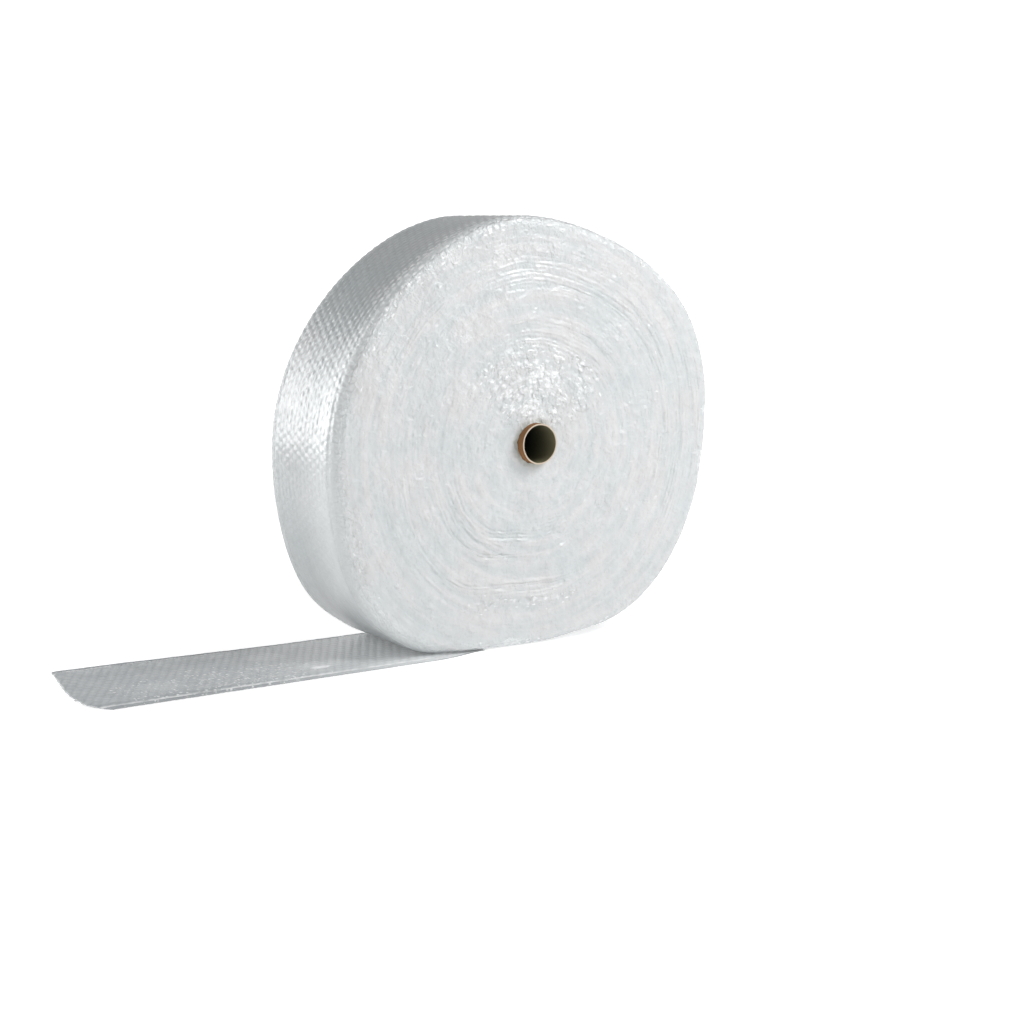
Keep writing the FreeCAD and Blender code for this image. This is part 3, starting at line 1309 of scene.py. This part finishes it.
def rest_on_ground(piece: bpy.types.Object, outline: RollOutline) -> None:
    """Presses whatever hangs under the floor or into the free end flat onto it.

    Args:
        piece: The piece to press.
        outline: The roll's outline, which knows what it stands on.
    """
    points = points_of(piece.data)
    points[:, 2] = np.maximum(points[:, 2], outline.ground(points[:, 0]))
    move_points(piece.data, points)


@dataclass(frozen=True)
class Crumple:
    """A place on a side of the roll where the film's edges are crushed or stand proud.

    It lies about an angle, spreads so far to either side, and runs between two shares of the way out.
    """

    angle: float
    spread: float
    inner: float
    outer: float
    strength: float
    ramp_angle: float = 24.0
    ramp_share: float = 0.06

    def mask(self, angles: np.ndarray, shares: np.ndarray) -> np.ndarray:
        """How crushed the film is at each place.

        Args:
            angles: Each place's angle in radians.
            shares: Each place's share of the way out from the core.

        Returns:
            A number from 0 to the place's strength for each.
        """
        off = np.abs((np.degrees(angles) - self.angle + 180.0) % 360.0 - 180.0)
        around = np.clip((self.spread - off) / self.ramp_angle, 0.0, 1.0)
        inside = np.clip((shares - self.inner) / self.ramp_share, 0.0, 1.0)
        outside = np.clip((self.outer - shares) / self.ramp_share, 0.0, 1.0)
        return self.strength * around * inside * outside


@dataclass
class TurnEdges:
    """One side of the roll: the welded edges of every turn, in one spiral."""

    outline: RollOutline
    side: Side
    crumples: tuple[Crumple, ...]
    ledges: tuple[Crumple, ...]
    thickness: float = 0.0056
    under_film: float = 0.0015
    film_field: float = 0.093
    film_lap: float = 0.006
    calm: float = 0.022
    calm_least: float = 0.45
    bulge: float = 0.0015
    bulge_width: float = 0.020
    rows_a_turn: int = 5
    columns: int = 720
    fold_depth: float = 0.0012
    fold_shift: float = 0.35
    ledge_height: float = 0.0010
    wander: float = 0.0026
    band_width: float = 0.011
    band_turns: float = 1.6
    sway_share: float = 0.3
    sway_turns: float = 4.0
    lean_least: float = 0.35
    fold_lumps: float = 30.0
    fold_run: float = 1.6
    fold_turn: float = 3.7
    fold_least: float = 0.15
    fold_levels: tuple[float, float, float, float] = (-0.15, 0.35, 0.1, 1.0)
    ledge_run: float = 6.0
    ledge_turn: float = 7.31
    ledge_levels: tuple[float, float] = (0.12, 0.38)
    swell_lumps: float = 13.0
    bends: float = 90.0
    bend_reach: float = 0.012
    patches: Patches = Patches(18.0, -0.05, 0.5, 0.0, 3.0, 0.5)
    patch_share: float = 0.5
    blotch: float = 0.0017
    blotch_size: float = 0.018
    swell: float = 0.0035
    crush: float = 0.0014
    crush_size: float = 0.009
    crush_least: float = 0.10
    rounding: float = 1e-6
    seed: float = 1.0

    def __post_init__(self) -> None:
        """Works out how many turns there are."""
        mean = float(self.outline.radii.mean())
        self.turns = round((mean - self.outline.core_radius) / self.thickness)
        self.recipe = self.build_recipe()

    def build_recipe(self) -> Recipe:
        """Builds the tree that lifts each turn's edge out of the flat spiral.

        Returns:
            The finished recipe.
        """
        tree = Recipe("turn_edges")
        depth, shift, ledge, wander, swell, seed = tree.numbers(
            "Fold depth", "Fold shift", "Ledge height", "Wander", "Swell", "Seed")
        blotch, blotch_size, crush, crush_size, least = tree.numbers(
            "Blotch", "Blotch size", "Crush", "Crush size", "Crush least")
        run, over, turn, crushed, ledged, around, way = (tree.mark(name) for name in (
            "run", "over", "turn", "crushed", "ledged", "around", "way"))
        here = tree.vector_math("ADD", tree.place(), tree.combined(seed, seed, seed))
        shown = tree.math("MAXIMUM", ledged, self.patches.on(tree, here) * self.patch_share)

        over = tree.math("FRACT", tree.noise(here, self.fold_lumps) * shift + over)
        rise = tree.math("COSINE", over * WHOLE_TURN) * 0.5 + 0.5
        picked = tree.noise(tree.combined(run * self.fold_run, turn * self.fold_turn, seed), 1.0)
        deep = tree.remap(picked, *self.fold_levels) * (shown * (1.0 - self.fold_least) + self.fold_least)
        fold = rise * -depth * deep
        arc = tree.noise(tree.combined(run * self.ledge_run, turn * self.ledge_turn + seed, 0.0), 1.0, 1.0)
        proud = tree.remap(arc, *self.ledge_levels) * (ledge * shown)

        band = self.rings(tree, around, self.band_turns, way / self.band_width + seed, 3.0, 0.6)
        across = way * (self.sway_share / self.band_width) + seed
        sway = self.rings(tree, around, self.sway_turns, across, 2.0, 0.5) * wander
        lean = band * (wander * (shown + self.lean_least))
        dent = tree.noise(here, 1.0 / blotch_size, 2.0, 0.55) * blotch
        roll = tree.noise(here, self.swell_lumps, 1.0) * swell
        facets = tree.cells(tree.bent(here, self.bends, 1.0, self.bend_reach), 1.0 / crush_size)
        crushing = facets * tree.math("MAXIMUM", crushed, least) * crush

        lifted = tree.scaled(tree.mark("lift", "FLOAT_VECTOR"), fold + proud + lean + dent + roll + crushing)
        swayed = tree.scaled(tree.mark("outward", "FLOAT_VECTOR"), sway)
        kept = tree.store(tree.geometry, "band", band)
        tree.finish(tree.moved(kept, "Offset", tree.vector_math("ADD", lifted, swayed)))
        return tree

    @staticmethod
    def rings(tree: Recipe, around: Wire, scale: float, way: Wire, detail: float, roughness: float) -> Wire:
        """Noise in long bands that follow the turns.

        Args:
            tree: The recipe.
            around: The angle round the core.
            scale: How often a band changes along its length.
            way: The place across the bands.
            detail: How many finer layers the noise has.
            roughness: How strong the finer layers are.

        Returns:
            The noise.
        """
        ring = (tree.math(kind, around) * scale for kind in ("COSINE", "SINE"))
        return tree.noise(tree.combined(*ring, way), 1.0, detail, roughness)

    def surface(self, angle: np.ndarray, turn: np.ndarray) -> tuple[np.ndarray, dict[str, np.ndarray]]:
        """Works out where the spiral's points lie before the tree lifts them.

        Args:
            angle: Each point's angle in radians.
            turn: Each point's turn, counted from the core.

        Returns:
            The points, and by name what the tree and the finish read on them.
        """
        softness = self.outline.softness(angle) if self.side is Side.NEAR else np.zeros_like(angle)
        firm, soft = self.outline.firm_shoulder, self.outline.soft_shoulder
        shoulder = firm + (soft - firm) * softness
        flat = self.outline.radius(angle) - shoulder - self.outline.core_radius
        reached = self.film_field - self.film_lap - (self.outline.half_width - shoulder)
        length = flat + shoulder * math.pi / 2 - np.maximum(reached, 0.0)
        way = turn / self.turns * length
        bend = np.clip((way - flat) / shoulder, 0.0, math.pi / 2)
        out = self.outline.core_radius + np.minimum(way, flat) + shoulder * np.sin(bend)
        sunk = self.outline.crown * np.minimum(way / flat, 1.0) ** 2
        face = self.outline.half_width - sunk - (shoulder - sunk) * (1.0 - np.cos(bend))
        face = face + self.bulge * np.exp(-way / self.bulge_width)
        left = length - way
        ray = np.stack([np.cos(angle), np.zeros_like(angle), np.sin(angle)], axis=-1)
        across = np.array([0.0, self.side.value, 0.0])
        lift = ray * np.sin(bend)[..., None] + across * np.cos(bend)[..., None]
        covered = np.clip(1.0 - left / self.film_lap, 0.0, 1.0)
        points = np.array(self.outline.axis) + ray * out[..., None] + across * face[..., None]
        points -= lift * (self.under_film * covered)[..., None]
        return points, {
            "around": angle, "way": way, "strip": np.clip(1.0 - left / self.calm, 0.0, 1.0),
            "soft": softness, "crushed": self.marked(self.crumples, angle, turn / self.turns),
            "ledged": self.marked(self.ledges, angle, turn / self.turns),
            "lift": lift * np.clip(left / self.calm, self.calm_least, 1.0)[..., None],
            "outward": ray * np.cos(bend)[..., None] - across * np.sin(bend)[..., None],
        }

    def sheet(self, name: str, first: float, last: float) -> bpy.types.Mesh:
        """Builds the flat spiral between two turns, with what the tree reads kept on it.

        Args:
            name: The mesh's name.
            first: The turn that it starts at, counted from the core.
            last: The turn that it ends at.

        Returns:
            The mesh, facing out of the roll's side.
        """
        per, count = self.rows_a_turn, self.columns
        rows = np.arange(round(first * per) - per, round(last * per) + 1)
        row, column = np.meshgrid(rows, np.arange(count + 1), indexing="ij")
        turn = np.clip(row / per + column / count, first, last)
        points, marks = self.surface(WHOLE_TURN * column / count, turn)
        wound = turn - column / count
        number = np.floor(wound + self.rounding)
        marks |= {"run": self.run_length(number + column / count), "over": wound - number, "turn": number}
        whole = ((turn[:-1, :-1] < turn[1:, :-1]) | (turn[:-1, 1:] < turn[1:, 1:])).ravel()
        grid = np.arange(turn.size).reshape(turn.shape)
        mesh = mesh_of(name, points.reshape(-1, 3), self.corners(grid)[whole])
        mark_points(mesh, marks)
        turn_of = np.floor(self.corners(row)[whole].min(axis=1, keepdims=True) / per)
        along = self.run_length(turn_of + self.corners(column)[whole] / count)
        chart = np.stack([along, self.corners(marks["way"])[whole]], axis=-1)
        mesh.uv_layers.new(name="UVMap").data.foreach_set("uv", chart.astype(np.float32).ravel())
        return mesh

    def corners(self, table: np.ndarray) -> np.ndarray:
        """Reads a table of the spiral's points at the four corners of each face, facing out of the side."""
        corners = [table[:-1, :-1], table[:-1, 1:], table[1:, 1:], table[1:, :-1]]
        return np.stack(corners[::int(self.side.value)], axis=-1).reshape(-1, 4)

    def run_length(self, turn: np.ndarray) -> np.ndarray:
        """The length of tubing wound up to each turn."""
        return WHOLE_TURN * (self.outline.core_radius * turn + self.thickness * turn ** 2 / 2)

    @staticmethod
    def marked(places: tuple[Crumple, ...], angles: np.ndarray, shares: np.ndarray) -> np.ndarray:
        """The strongest of some marked places at each point, or nothing."""
        marks = [place.mask(angles, shares) for place in places]
        return np.max(marks, axis=0) if marks else np.zeros_like(angles)

    def build(self, name: str, first: float, last: float, material: bpy.types.Material) -> bpy.types.Object:
        """Builds the turns' edges between two turns.

        Args:
            name: The piece's name.
            first: The turn that it starts at, as a share of them all.
            last: The turn that it ends at, as a share of them all.
            material: The film's material.

        Returns:
            The finished piece.
        """
        flat = self.sheet(name, round(first * self.turns), round(last * self.turns))
        piece = self.recipe.apply(flat, name, {
            "Fold depth": self.fold_depth, "Ledge height": self.ledge_height, "Wander": self.wander,
            "Fold shift": self.fold_shift, "Crush least": self.crush_least,
            "Blotch": self.blotch, "Blotch size": self.blotch_size, "Swell": self.swell,
            "Crush": self.crush, "Crush size": self.crush_size, "Seed": self.seed, "Material": material,
        })
        rest_on_ground(piece, self.outline)
        return finished(piece, Slot.FILM, "bubble_tubing")


@dataclass
class FreeEnd:
    """The unwound end of the tubing, which lies flat on the floor."""

    outline: RollOutline
    film: BubbleFilm
    bubble_height: float = 0.0006
    web_height: float = 0.0042
    weld_height: float = 0.0012
    pillow: float = 0.014
    under_height: float = 0.0016
    under_to: float = -0.07
    slack: float = 0.0016
    crinkle: float = 0.0005
    seed: float = 9.0
    droop_length: float = 0.030
    droop: float = 0.0022
    lift: float = 0.0050
    lift_side: float = -0.3
    lift_from: float = -0.25
    lift_run: float = 0.35
    lowest: float = 0.0004
    tuck: float = 0.012
    tuck_from: float = -0.150
    path_points: int = 200
    pillow_points: int = 8
    under_web: float = 0.0011
    under_bubbles: float = 0.0005
    cut: tuple[tuple[float, float], ...] = (
        (-1.03, 0.028), (-0.84, 0.011), (-0.67, 0.003), (-0.35, 0.0),
        (0.12, 0.005), (0.55, 0.0125), (1.03, 0.0205),
    )

    def path(self, web_shade: float, droop: float) -> np.ndarray:
        """The line that one of the two films follows, from the cut end to under the roll.

        Args:
            web_shade: How high the film lies.
            droop: How far it sinks at the cut end.

        Returns:
            One row of three numbers for each point.
        """
        xs = np.linspace(self.outline.low.x, self.under_to, self.path_points)
        sunk = np.clip(1.0 - (xs - self.outline.low.x) / self.droop_length, 0.0, 1.0) ** 2
        dive = np.clip((xs - self.outline.tail_from) / (self.under_to - self.outline.tail_from), 0.0, 1.0)
        heights = web_shade - droop * sunk - max(web_shade - self.under_height, 0.0) * dive
        return np.column_stack([xs, np.zeros_like(xs), heights])

    def trim(self, mesh: bpy.types.Mesh) -> None:
        """Cuts the end to its curve, lifts its far side and tucks its margins in under the roll.

        Args:
            mesh: The free end's mesh.
        """
        points = points_of(mesh)
        half = self.film.field_width / 2 + self.film.margin
        shares, shortfalls = np.array(self.cut).T
        edge = self.outline.low.x + np.interp(points[:, 1] / half, shares, shortfalls)
        points[:, 0] = np.maximum(points[:, 0], edge)
        far = np.clip((points[:, 1] / half - self.lift_side) / (1.0 - self.lift_side), 0.0, 1.0)
        away = np.clip((self.lift_from - points[:, 0]) / self.lift_run, 0.0, 1.0)
        points[:, 2] += self.lift * far * far * eased(away)
        under = np.clip((points[:, 0] - self.tuck_from) / (self.under_to - self.tuck_from), 0.0, 1.0)
        points[:, 1] *= 1.0 - eased(under) * (1.0 - (self.outline.half_width - self.tuck) / half)
        points[:, 2] = np.maximum(points[:, 2], self.lowest)
        move_points(mesh, points)

    def layer(self, name: str, path: np.ndarray, section: np.ndarray, bubbles: float,
              material: bpy.types.Material) -> bpy.types.Object:
        """Lays one of the two films.

        Args:
            name: The piece's name.
            path: The line that it follows.
            section: Its cross-section.
            bubbles: The height of its bubbles.
            material: The film's material.

        Returns:
            The finished piece.
        """
        marks = {"softness": np.zeros(len(path)), "fullness": np.ones(len(path))}
        values = {"Bubble height": bubbles, "Slack": self.slack, "Crinkle": self.crinkle, "Dip": 0.0,
                  "Seed": self.seed, "Material": material}
        piece = self.film.lay(name, path, (section, section), marks, values)
        self.trim(piece.data)
        piece = finished(piece, Slot.FILM, "bubble_tubing")
        length = self.under_to - self.outline.low.x
        return piece

    def build(self, upper: bpy.types.Material, lower: bpy.types.Material) -> None:
        """Builds both films of the flattened sleeve, welded along their margins and open at the cut end.

        Args:
            upper: The upper film's material.
            lower: The lower film's material.
        """
        half, margin = self.film.field_width / 2, self.film.margin
        drop = self.web_height - self.weld_height
        near = np.linspace(-half, self.pillow - half, self.pillow_points)
        fall = 0.5 - 0.5 * np.cos((near + half) / self.pillow * math.pi)
        rounded = np.column_stack([near, -drop * (1.0 - fall)])
        ends = [[-half - margin, -drop]], [[half + margin, -drop]]
        section = np.vstack([ends[0], rounded, rounded[::-1] * (-1.0, 1.0), ends[1]])
        self.layer("free_end", self.path(self.web_height, self.droop), section, self.bubble_height, upper)
        flat = np.array([[-half - margin, 0.0], [half + margin, 0.0]])
        below = self.path(self.under_web, 0.0)[::-1]
        self.layer("free_end_underside", below, flat, self.under_bubbles, lower)


@dataclass
class CardboardCore:
    """The cardboard tube that the tubing is wound on."""

    outline: RollOutline
    wall: float = 0.002
    lip: float = 0.0005
    bore_shade_from: float = 0.07
    ply_pitch: float = 0.095
    seam_width: float = 0.0012
    seam_depth: float = 0.00022
    inner_seam: float = 0.4
    wear: tuple[tuple[float, int, float], ...] = ((0.00012, 3, 0.7), (0.00008, 11, 2.1))
    bend_steps: int = 4
    columns: int = 144
    rows: int = 150

    def profile(self) -> tuple[np.ndarray, np.ndarray, np.ndarray]:
        """The wall's cross-section as a closed loop.

        Returns:
            Each point's radius, its place along the axis, and whether it is on a cut end.
        """
        outer, inner = self.outline.core_radius, self.outline.core_radius - self.wall
        low, high = self.outline.core_ends
        run = np.linspace(low + self.lip, high - self.lip, self.rows)
        bend = np.linspace(0.0, math.pi / 2, self.bend_steps)[1:-1]
        ends = []
        for end, sign in ((high, 1.0), (low, -1.0)):
            first, second = (outer, inner) if sign > 0 else (inner, outer)
            lip = [(self.lip * (1 - math.cos(b)), end - sign * self.lip * (1 - math.sin(b))) for b in bend]
            turn_in = [(first - sign * across, y, 1.0) for across, y in lip]
            flat = np.linspace(first - sign * self.lip, second + sign * self.lip, self.bend_steps)
            middle = [(r, end, 1.0) for r in flat]
            turn_out = [(second + sign * across, y, 1.0) for across, y in reversed(lip)]
            ends.append(turn_in + middle + turn_out)
        loop = [(outer, y, 0.0) for y in run] + ends[0] + [(inner, y, 0.0) for y in run[::-1]] + ends[1]
        table = np.array(loop)
        return table[:, 0], table[:, 1], table[:, 2]

    def build(self, material: bpy.types.Material) -> bpy.types.Object:
        """Builds the core.

        Args:
            material: The cardboard.

        Returns:
            The finished piece.
        """
        radius, along, cut = self.profile()
        turn = np.arange(self.columns) * WHOLE_TURN / self.columns
        radius, along, cut = (np.repeat(a[:, None], self.columns, axis=1) for a in (radius, along, cut))
        turn = np.repeat(turn[None, :], radius.shape[0], axis=0)
        outer = radius > self.outline.core_radius - self.wall / 2
        phase = (along / self.ply_pitch + turn / WHOLE_TURN + np.where(outer, 0.0, self.inner_seam)) % 1.0
        off = np.minimum(phase, 1.0 - phase) * self.ply_pitch
        seam = np.clip(1.0 - off / self.seam_width, 0.0, 1.0)
        worn = sum(height * np.sin(turn * waves + start) for height, waves, start in self.wear)
        radius = radius + np.where(outer, -1.0, 1.0) * self.seam_depth * seam * (1 - cut) + worn * cut
        axis = self.outline.axis
        points = np.stack([axis.x + radius * np.cos(turn), along, axis.z + radius * np.sin(turn)], axis=-1)
        grid = np.arange(points[..., 0].size).reshape(points.shape[:2])
        down, right = np.roll(grid, -1, axis=0), np.roll(grid, -1, axis=1)
        both = np.roll(down, -1, axis=1)
        faces = np.stack([grid, down, both, right], axis=-1).reshape(-1, 4)
        mesh = mesh_of("cardboard_core", points.reshape(-1, 3), faces)
        low, high = self.outline.core_ends
        # How deep into the bore, for the painted shade that darkens it.
        depth = np.clip(np.minimum(along - low, high - along) / self.bore_shade_from, 0.0, 1.0)
        wall = 1 - cut
        mark_points(mesh, {"seam": seam * wall, "cut": cut, "bore": (1 - outer) * wall, "depth": depth})
        mesh.materials.append(material)
        return finished(linked(bpy.data.objects.new("cardboard_core", mesh)), Slot.CARDBOARD, "core_tube")


def aimed(place: Point, target: Point) -> Euler:
    """The turn that points a camera or a light from one place at another."""
    return (Vector(target) - Vector(place)).to_track_quat("-Z", "Y").to_euler()


@dataclass(frozen=True)
class Panel:
    """One flat soft light."""

    name: str
    place: Point
    aim: Point
    width: float
    height: float
    power: float

    def build(self) -> None:
        """Sets the light up, out of the camera's sight."""
        data = bpy.data.lights.new(self.name, "AREA")
        data.shape = "RECTANGLE"
        data.size, data.size_y = self.width, self.height
        data.energy = self.power
        light = linked(bpy.data.objects.new(self.name, data))
        light.location = self.place
        light.rotation_euler = aimed(self.place, self.aim)
        light.visible_camera = False


@dataclass
class Studio:
    """The pale floor, the soft light and the camera."""

    camera_place: Point = (-1.38363, -2.13197, 0.57131)
    camera_target: Point = (0.02715, 0.0, 0.16978)
    lens: float = 65.05
    sensor: float = 36.0
    floor_size: float = 30.0
    floor_color: Color = (0.86, 0.86, 0.86)
    floor_roughness: float = 0.9
    floor_glow: float = 0.52
    floor_far_glow: float = 1.1
    glow_from: float = 0.9
    glow_to: float = 2.4
    floor_bounce: float = 0.32
    horizon: float = 0.82
    zenith: float = 0.24
    sky_from: float = 0.10
    sky_to: float = 0.55
    backdrop: float = 1.3
    white: Color = (1.0, 1.0, 1.0)
    panels: tuple[Panel, ...] = (
        Panel("key", (1.20, -1.40, 1.85), (0.0, -0.1, 0.28), 1.2, 1.0, 40.5),
        Panel("spark", (1.40, -2.25, 0.85), (0.0, -0.1, 0.28), 0.45, 0.35, 6.0),
        Panel("fill", (-2.6, -1.05, 0.85), (-0.2, 0.0, 0.25), 3.0, 1.8, 13.2),
        Panel("card", (-1.18, 1.36, 0.555), (-0.1, 0.0, 0.3), 1.0, 0.77, 11.6),
        Panel("glow", (-1.08, 1.40, 1.13), (-0.1, 0.0, 0.3), 1.0, 0.40, 3.3),
    )

    def build(self) -> None:
        """Builds the whole studio."""
        scene = bpy.context.scene
        scene.view_settings.view_transform = "Standard"
        self.camera(scene)
        self.floor()
        self.sky(scene)
        for panel in self.panels:
            panel.build()

    def camera(self, scene: bpy.types.Scene) -> None:
        """Sets the camera.

        Args:
            scene: The scene that it takes.
        """
        data = bpy.data.cameras.new("camera")
        data.lens, data.sensor_width = self.lens, self.sensor
        scene.camera = linked(bpy.data.objects.new("camera", data))
        scene.camera.location = self.camera_place
        scene.camera.rotation_euler = aimed(self.camera_place, self.camera_target)

    def floor(self) -> None:
        """Lays the floor, which glows more towards the walls so that its edge doesn't show."""
        half = self.floor_size / 2
        corners = np.array([(-half, -half, 0.0), (half, -half, 0.0), (half, half, 0.0), (-half, half, 0.0)])
        mesh = mesh_of("floor", corners, [(0, 1, 2, 3)])
        paint = Paint("floor_paper")
        away = paint.length(paint.at)
        shown = paint.remap(away, self.glow_from, self.glow_to, self.floor_glow, self.floor_far_glow)
        seen = paint.wire("ShaderNodeLightPath", None, "Is Camera Ray")
        mesh.materials.append(paint.finish({
            "Base Color": self.floor_color, "Roughness": self.floor_roughness, "Emission Color": self.white,
            "Emission Strength": paint.between(seen, self.floor_bounce, shown)}))
        linked(bpy.data.objects.new("floor", mesh))

    def sky(self, scene: bpy.types.Scene) -> None:
        """Lights the room evenly, whiter at the walls than at the ceiling, on a white ground.

        Args:
            scene: The scene whose room it is.
        """
        world = bpy.data.worlds.new("studio")
        world.use_nodes = True
        scene.world = world
        wiring = Wiring(world.node_tree)
        up = wiring.split(wiring.wire("ShaderNodeTexCoord", None, "Generated"))[2]
        level = wiring.remap(up, self.sky_from, self.sky_to, self.horizon, self.zenith)
        seen = wiring.wire("ShaderNodeLightPath", None, "Is Camera Ray")
        background = world.node_tree.nodes["Background"].inputs
        wiring.feed(background["Color"], self.white)
        wiring.feed(background["Strength"], wiring.between(seen, level, self.backdrop))


WOUND = FilmFinish(
    "wound_film", (0.405, 0.44, 0.452), (0.43, 0.443, 0.452), (0.53, 0.55, 0.555), 0.3, 0.09, roughness=0.22,
    index=1.7, crinkle_size=0.005, crinkle_amount=0.05, bubble_shade=0.08, bubble_glints=1.0,
    painted_fill=(0.555, 0.575, 0.58), painted_fill_run=(0.26, 0.06), border=(0.53, 0.56, 0.565),
    border_soft_light=(0.62, 0.645, 0.65), border_glints=3.0, glint_density=0.05, glint_share=0.6,
    strip=(0.76, 0.78, 0.785), strip_soft_light=(0.73, 0.755, 0.76), strip_crinkle=0.26, strip_glints=0.26,
    strip_rough=0.42)
EDGES = FilmFinish(
    "film_edges", (0.52, 0.555, 0.565), (0.565, 0.56, 0.565), (0.61, 0.62, 0.625), 0.6, 0.06, grain=0.07,
    grain_size=0.011, banding=0.10, roughness=0.12, index=1.55, crinkle_size=0.007, crinkle_amount=0.08,
    crushed_boost=0.32, crushed_tint=(0.535, 0.55, 0.555), crushed_share=0.45, glint_density=0.12,
    glint_share=0.55, glint_squash=0.5, core_shade=(0.40, 0.42, 0.39), strip=(0.60, 0.63, 0.635),
    strip_soft_light=(0.82, 0.85, 0.855), strip_crinkle=0.22, strip_glints=0.34)
LOOSE = FilmFinish(
    "loose_film", (0.352, 0.388, 0.408), (0.372, 0.395, 0.408), (0.48, 0.507, 0.52), 0.7, 0.10,
    roughness=0.24, crinkle_size=0.005, crinkle_amount=0.05, bubble_shade=0.26, glint_size=0.0048,
    glint_density=0.62, glint_share=0.85, glint_run=(0.185, 0.20), painted_fill=(0.74, 0.76, 0.77), weld=1.0,
    weld_highlight_width=0.0045, cover=0.78,
    creases=(CreaseHighlight(0.322, -0.058, 0.018, 0.0085, 1.0), CreaseHighlight(0.330, -0.045, 0.05, 0.022, 0.22),
             CreaseHighlight(0.285, 0.030, 0.035, 0.030, 0.16), CreaseHighlight(0.110, -0.040, 0.040, 0.030, 0.14)))
UNDER = FilmFinish(
    "under_film", (0.60, 0.62, 0.63), (0.62, 0.63, 0.63), (0.70, 0.71, 0.71), 0.4, 0.06,
    roughness=0.24, cover=0.45)
BOARD = CardboardFinish(
    "core_board", (0.33, 0.155, 0.055), (0.18, 0.085, 0.03), (0.60, 0.52, 0.42), inside=(0.17, 0.155, 0.088),
    deep=(0.004, 0.012, 0.004))


@dataclass
class TubingRoll:
    """The whole roll: its last turn, both sides, the free end and the core."""

    near_crumples: tuple[Crumple, ...] = (
        Crumple(84.0, 72.0, -0.06, 0.42, 1.0),
        Crumple(116.0, 58.0, 0.76, 1.10, 0.42),
        Crumple(266.0, 38.0, 0.68, 0.82, 0.8),
        Crumple(228.0, 26.0, 0.76, 0.90, 0.5),
        Crumple(203.0, 24.0, 0.86, 1.02, 0.6),
        Crumple(160.0, 26.0, 0.50, 0.66, 0.5),
        Crumple(318.0, 28.0, 0.34, 0.48, 0.4),
        Crumple(40.0, 30.0, 0.66, 0.80, 0.4),
    )
    near_ledges: tuple[Crumple, ...] = (
        Crumple(64.0, 58.0, 0.60, 0.82, 0.85),
        Crumple(66.0, 60.0, 0.34, 0.54, 0.85),
        Crumple(236.0, 40.0, 0.34, 0.54, 1.5),
        Crumple(5.0, 44.0, 0.62, 0.98, 0.6),
        Crumple(255.0, 50.0, 0.60, 0.78, 1.1),
    )
    far_crumples: tuple[Crumple, ...] = (
        Crumple(60.0, 50.0, 0.05, 0.30, 0.9),
        Crumple(205.0, 40.0, 0.70, 0.95, 0.7),
    )
    far_ledges: tuple[Crumple, ...] = (
        Crumple(120.0, 60.0, 0.45, 0.70, 1.0),
        Crumple(300.0, 50.0, 0.30, 0.60, 0.8),
    )
    split: float = 0.48
    outline: RollOutline = field(default_factory=RollOutline)

    def build(self) -> None:
        """Builds every piece in order."""
        effects = SharedEffects()
        wound, edges, loose, under = (finish.material(effects) for finish in (WOUND, EDGES, LOOSE, UNDER))
        near = TurnEdges(self.outline, Side.NEAR, self.near_crumples, self.near_ledges, seed=3.0)
        far = TurnEdges(self.outline, Side.FAR, self.far_crumples, self.far_ledges, seed=11.0,
                        rows_a_turn=4, columns=480)
        OuterTurn(self.outline, BubbleFilm()).build(wound)
        near.build("near_inner_turns", 0.0, self.split, edges)
        near.build("near_outer_turns", self.split, 1.0, edges)
        far.build("far_turns", 0.0, 1.0, edges)
        flat_film = BubbleFilm(bridge=0.95, toward=30.0, fade=0.016, bead=0.0018)
        FreeEnd(self.outline, flat_film).build(loose, under)
        CardboardCore(self.outline).build(BOARD.material())


def main() -> None:
    """Builds the roll in its studio."""
    logging.basicConfig(level=logging.INFO, format="%(name)s: %(message)s")
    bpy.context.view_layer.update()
    Studio().build()
    TubingRoll().build()


if __name__ == "__main__":
    main()
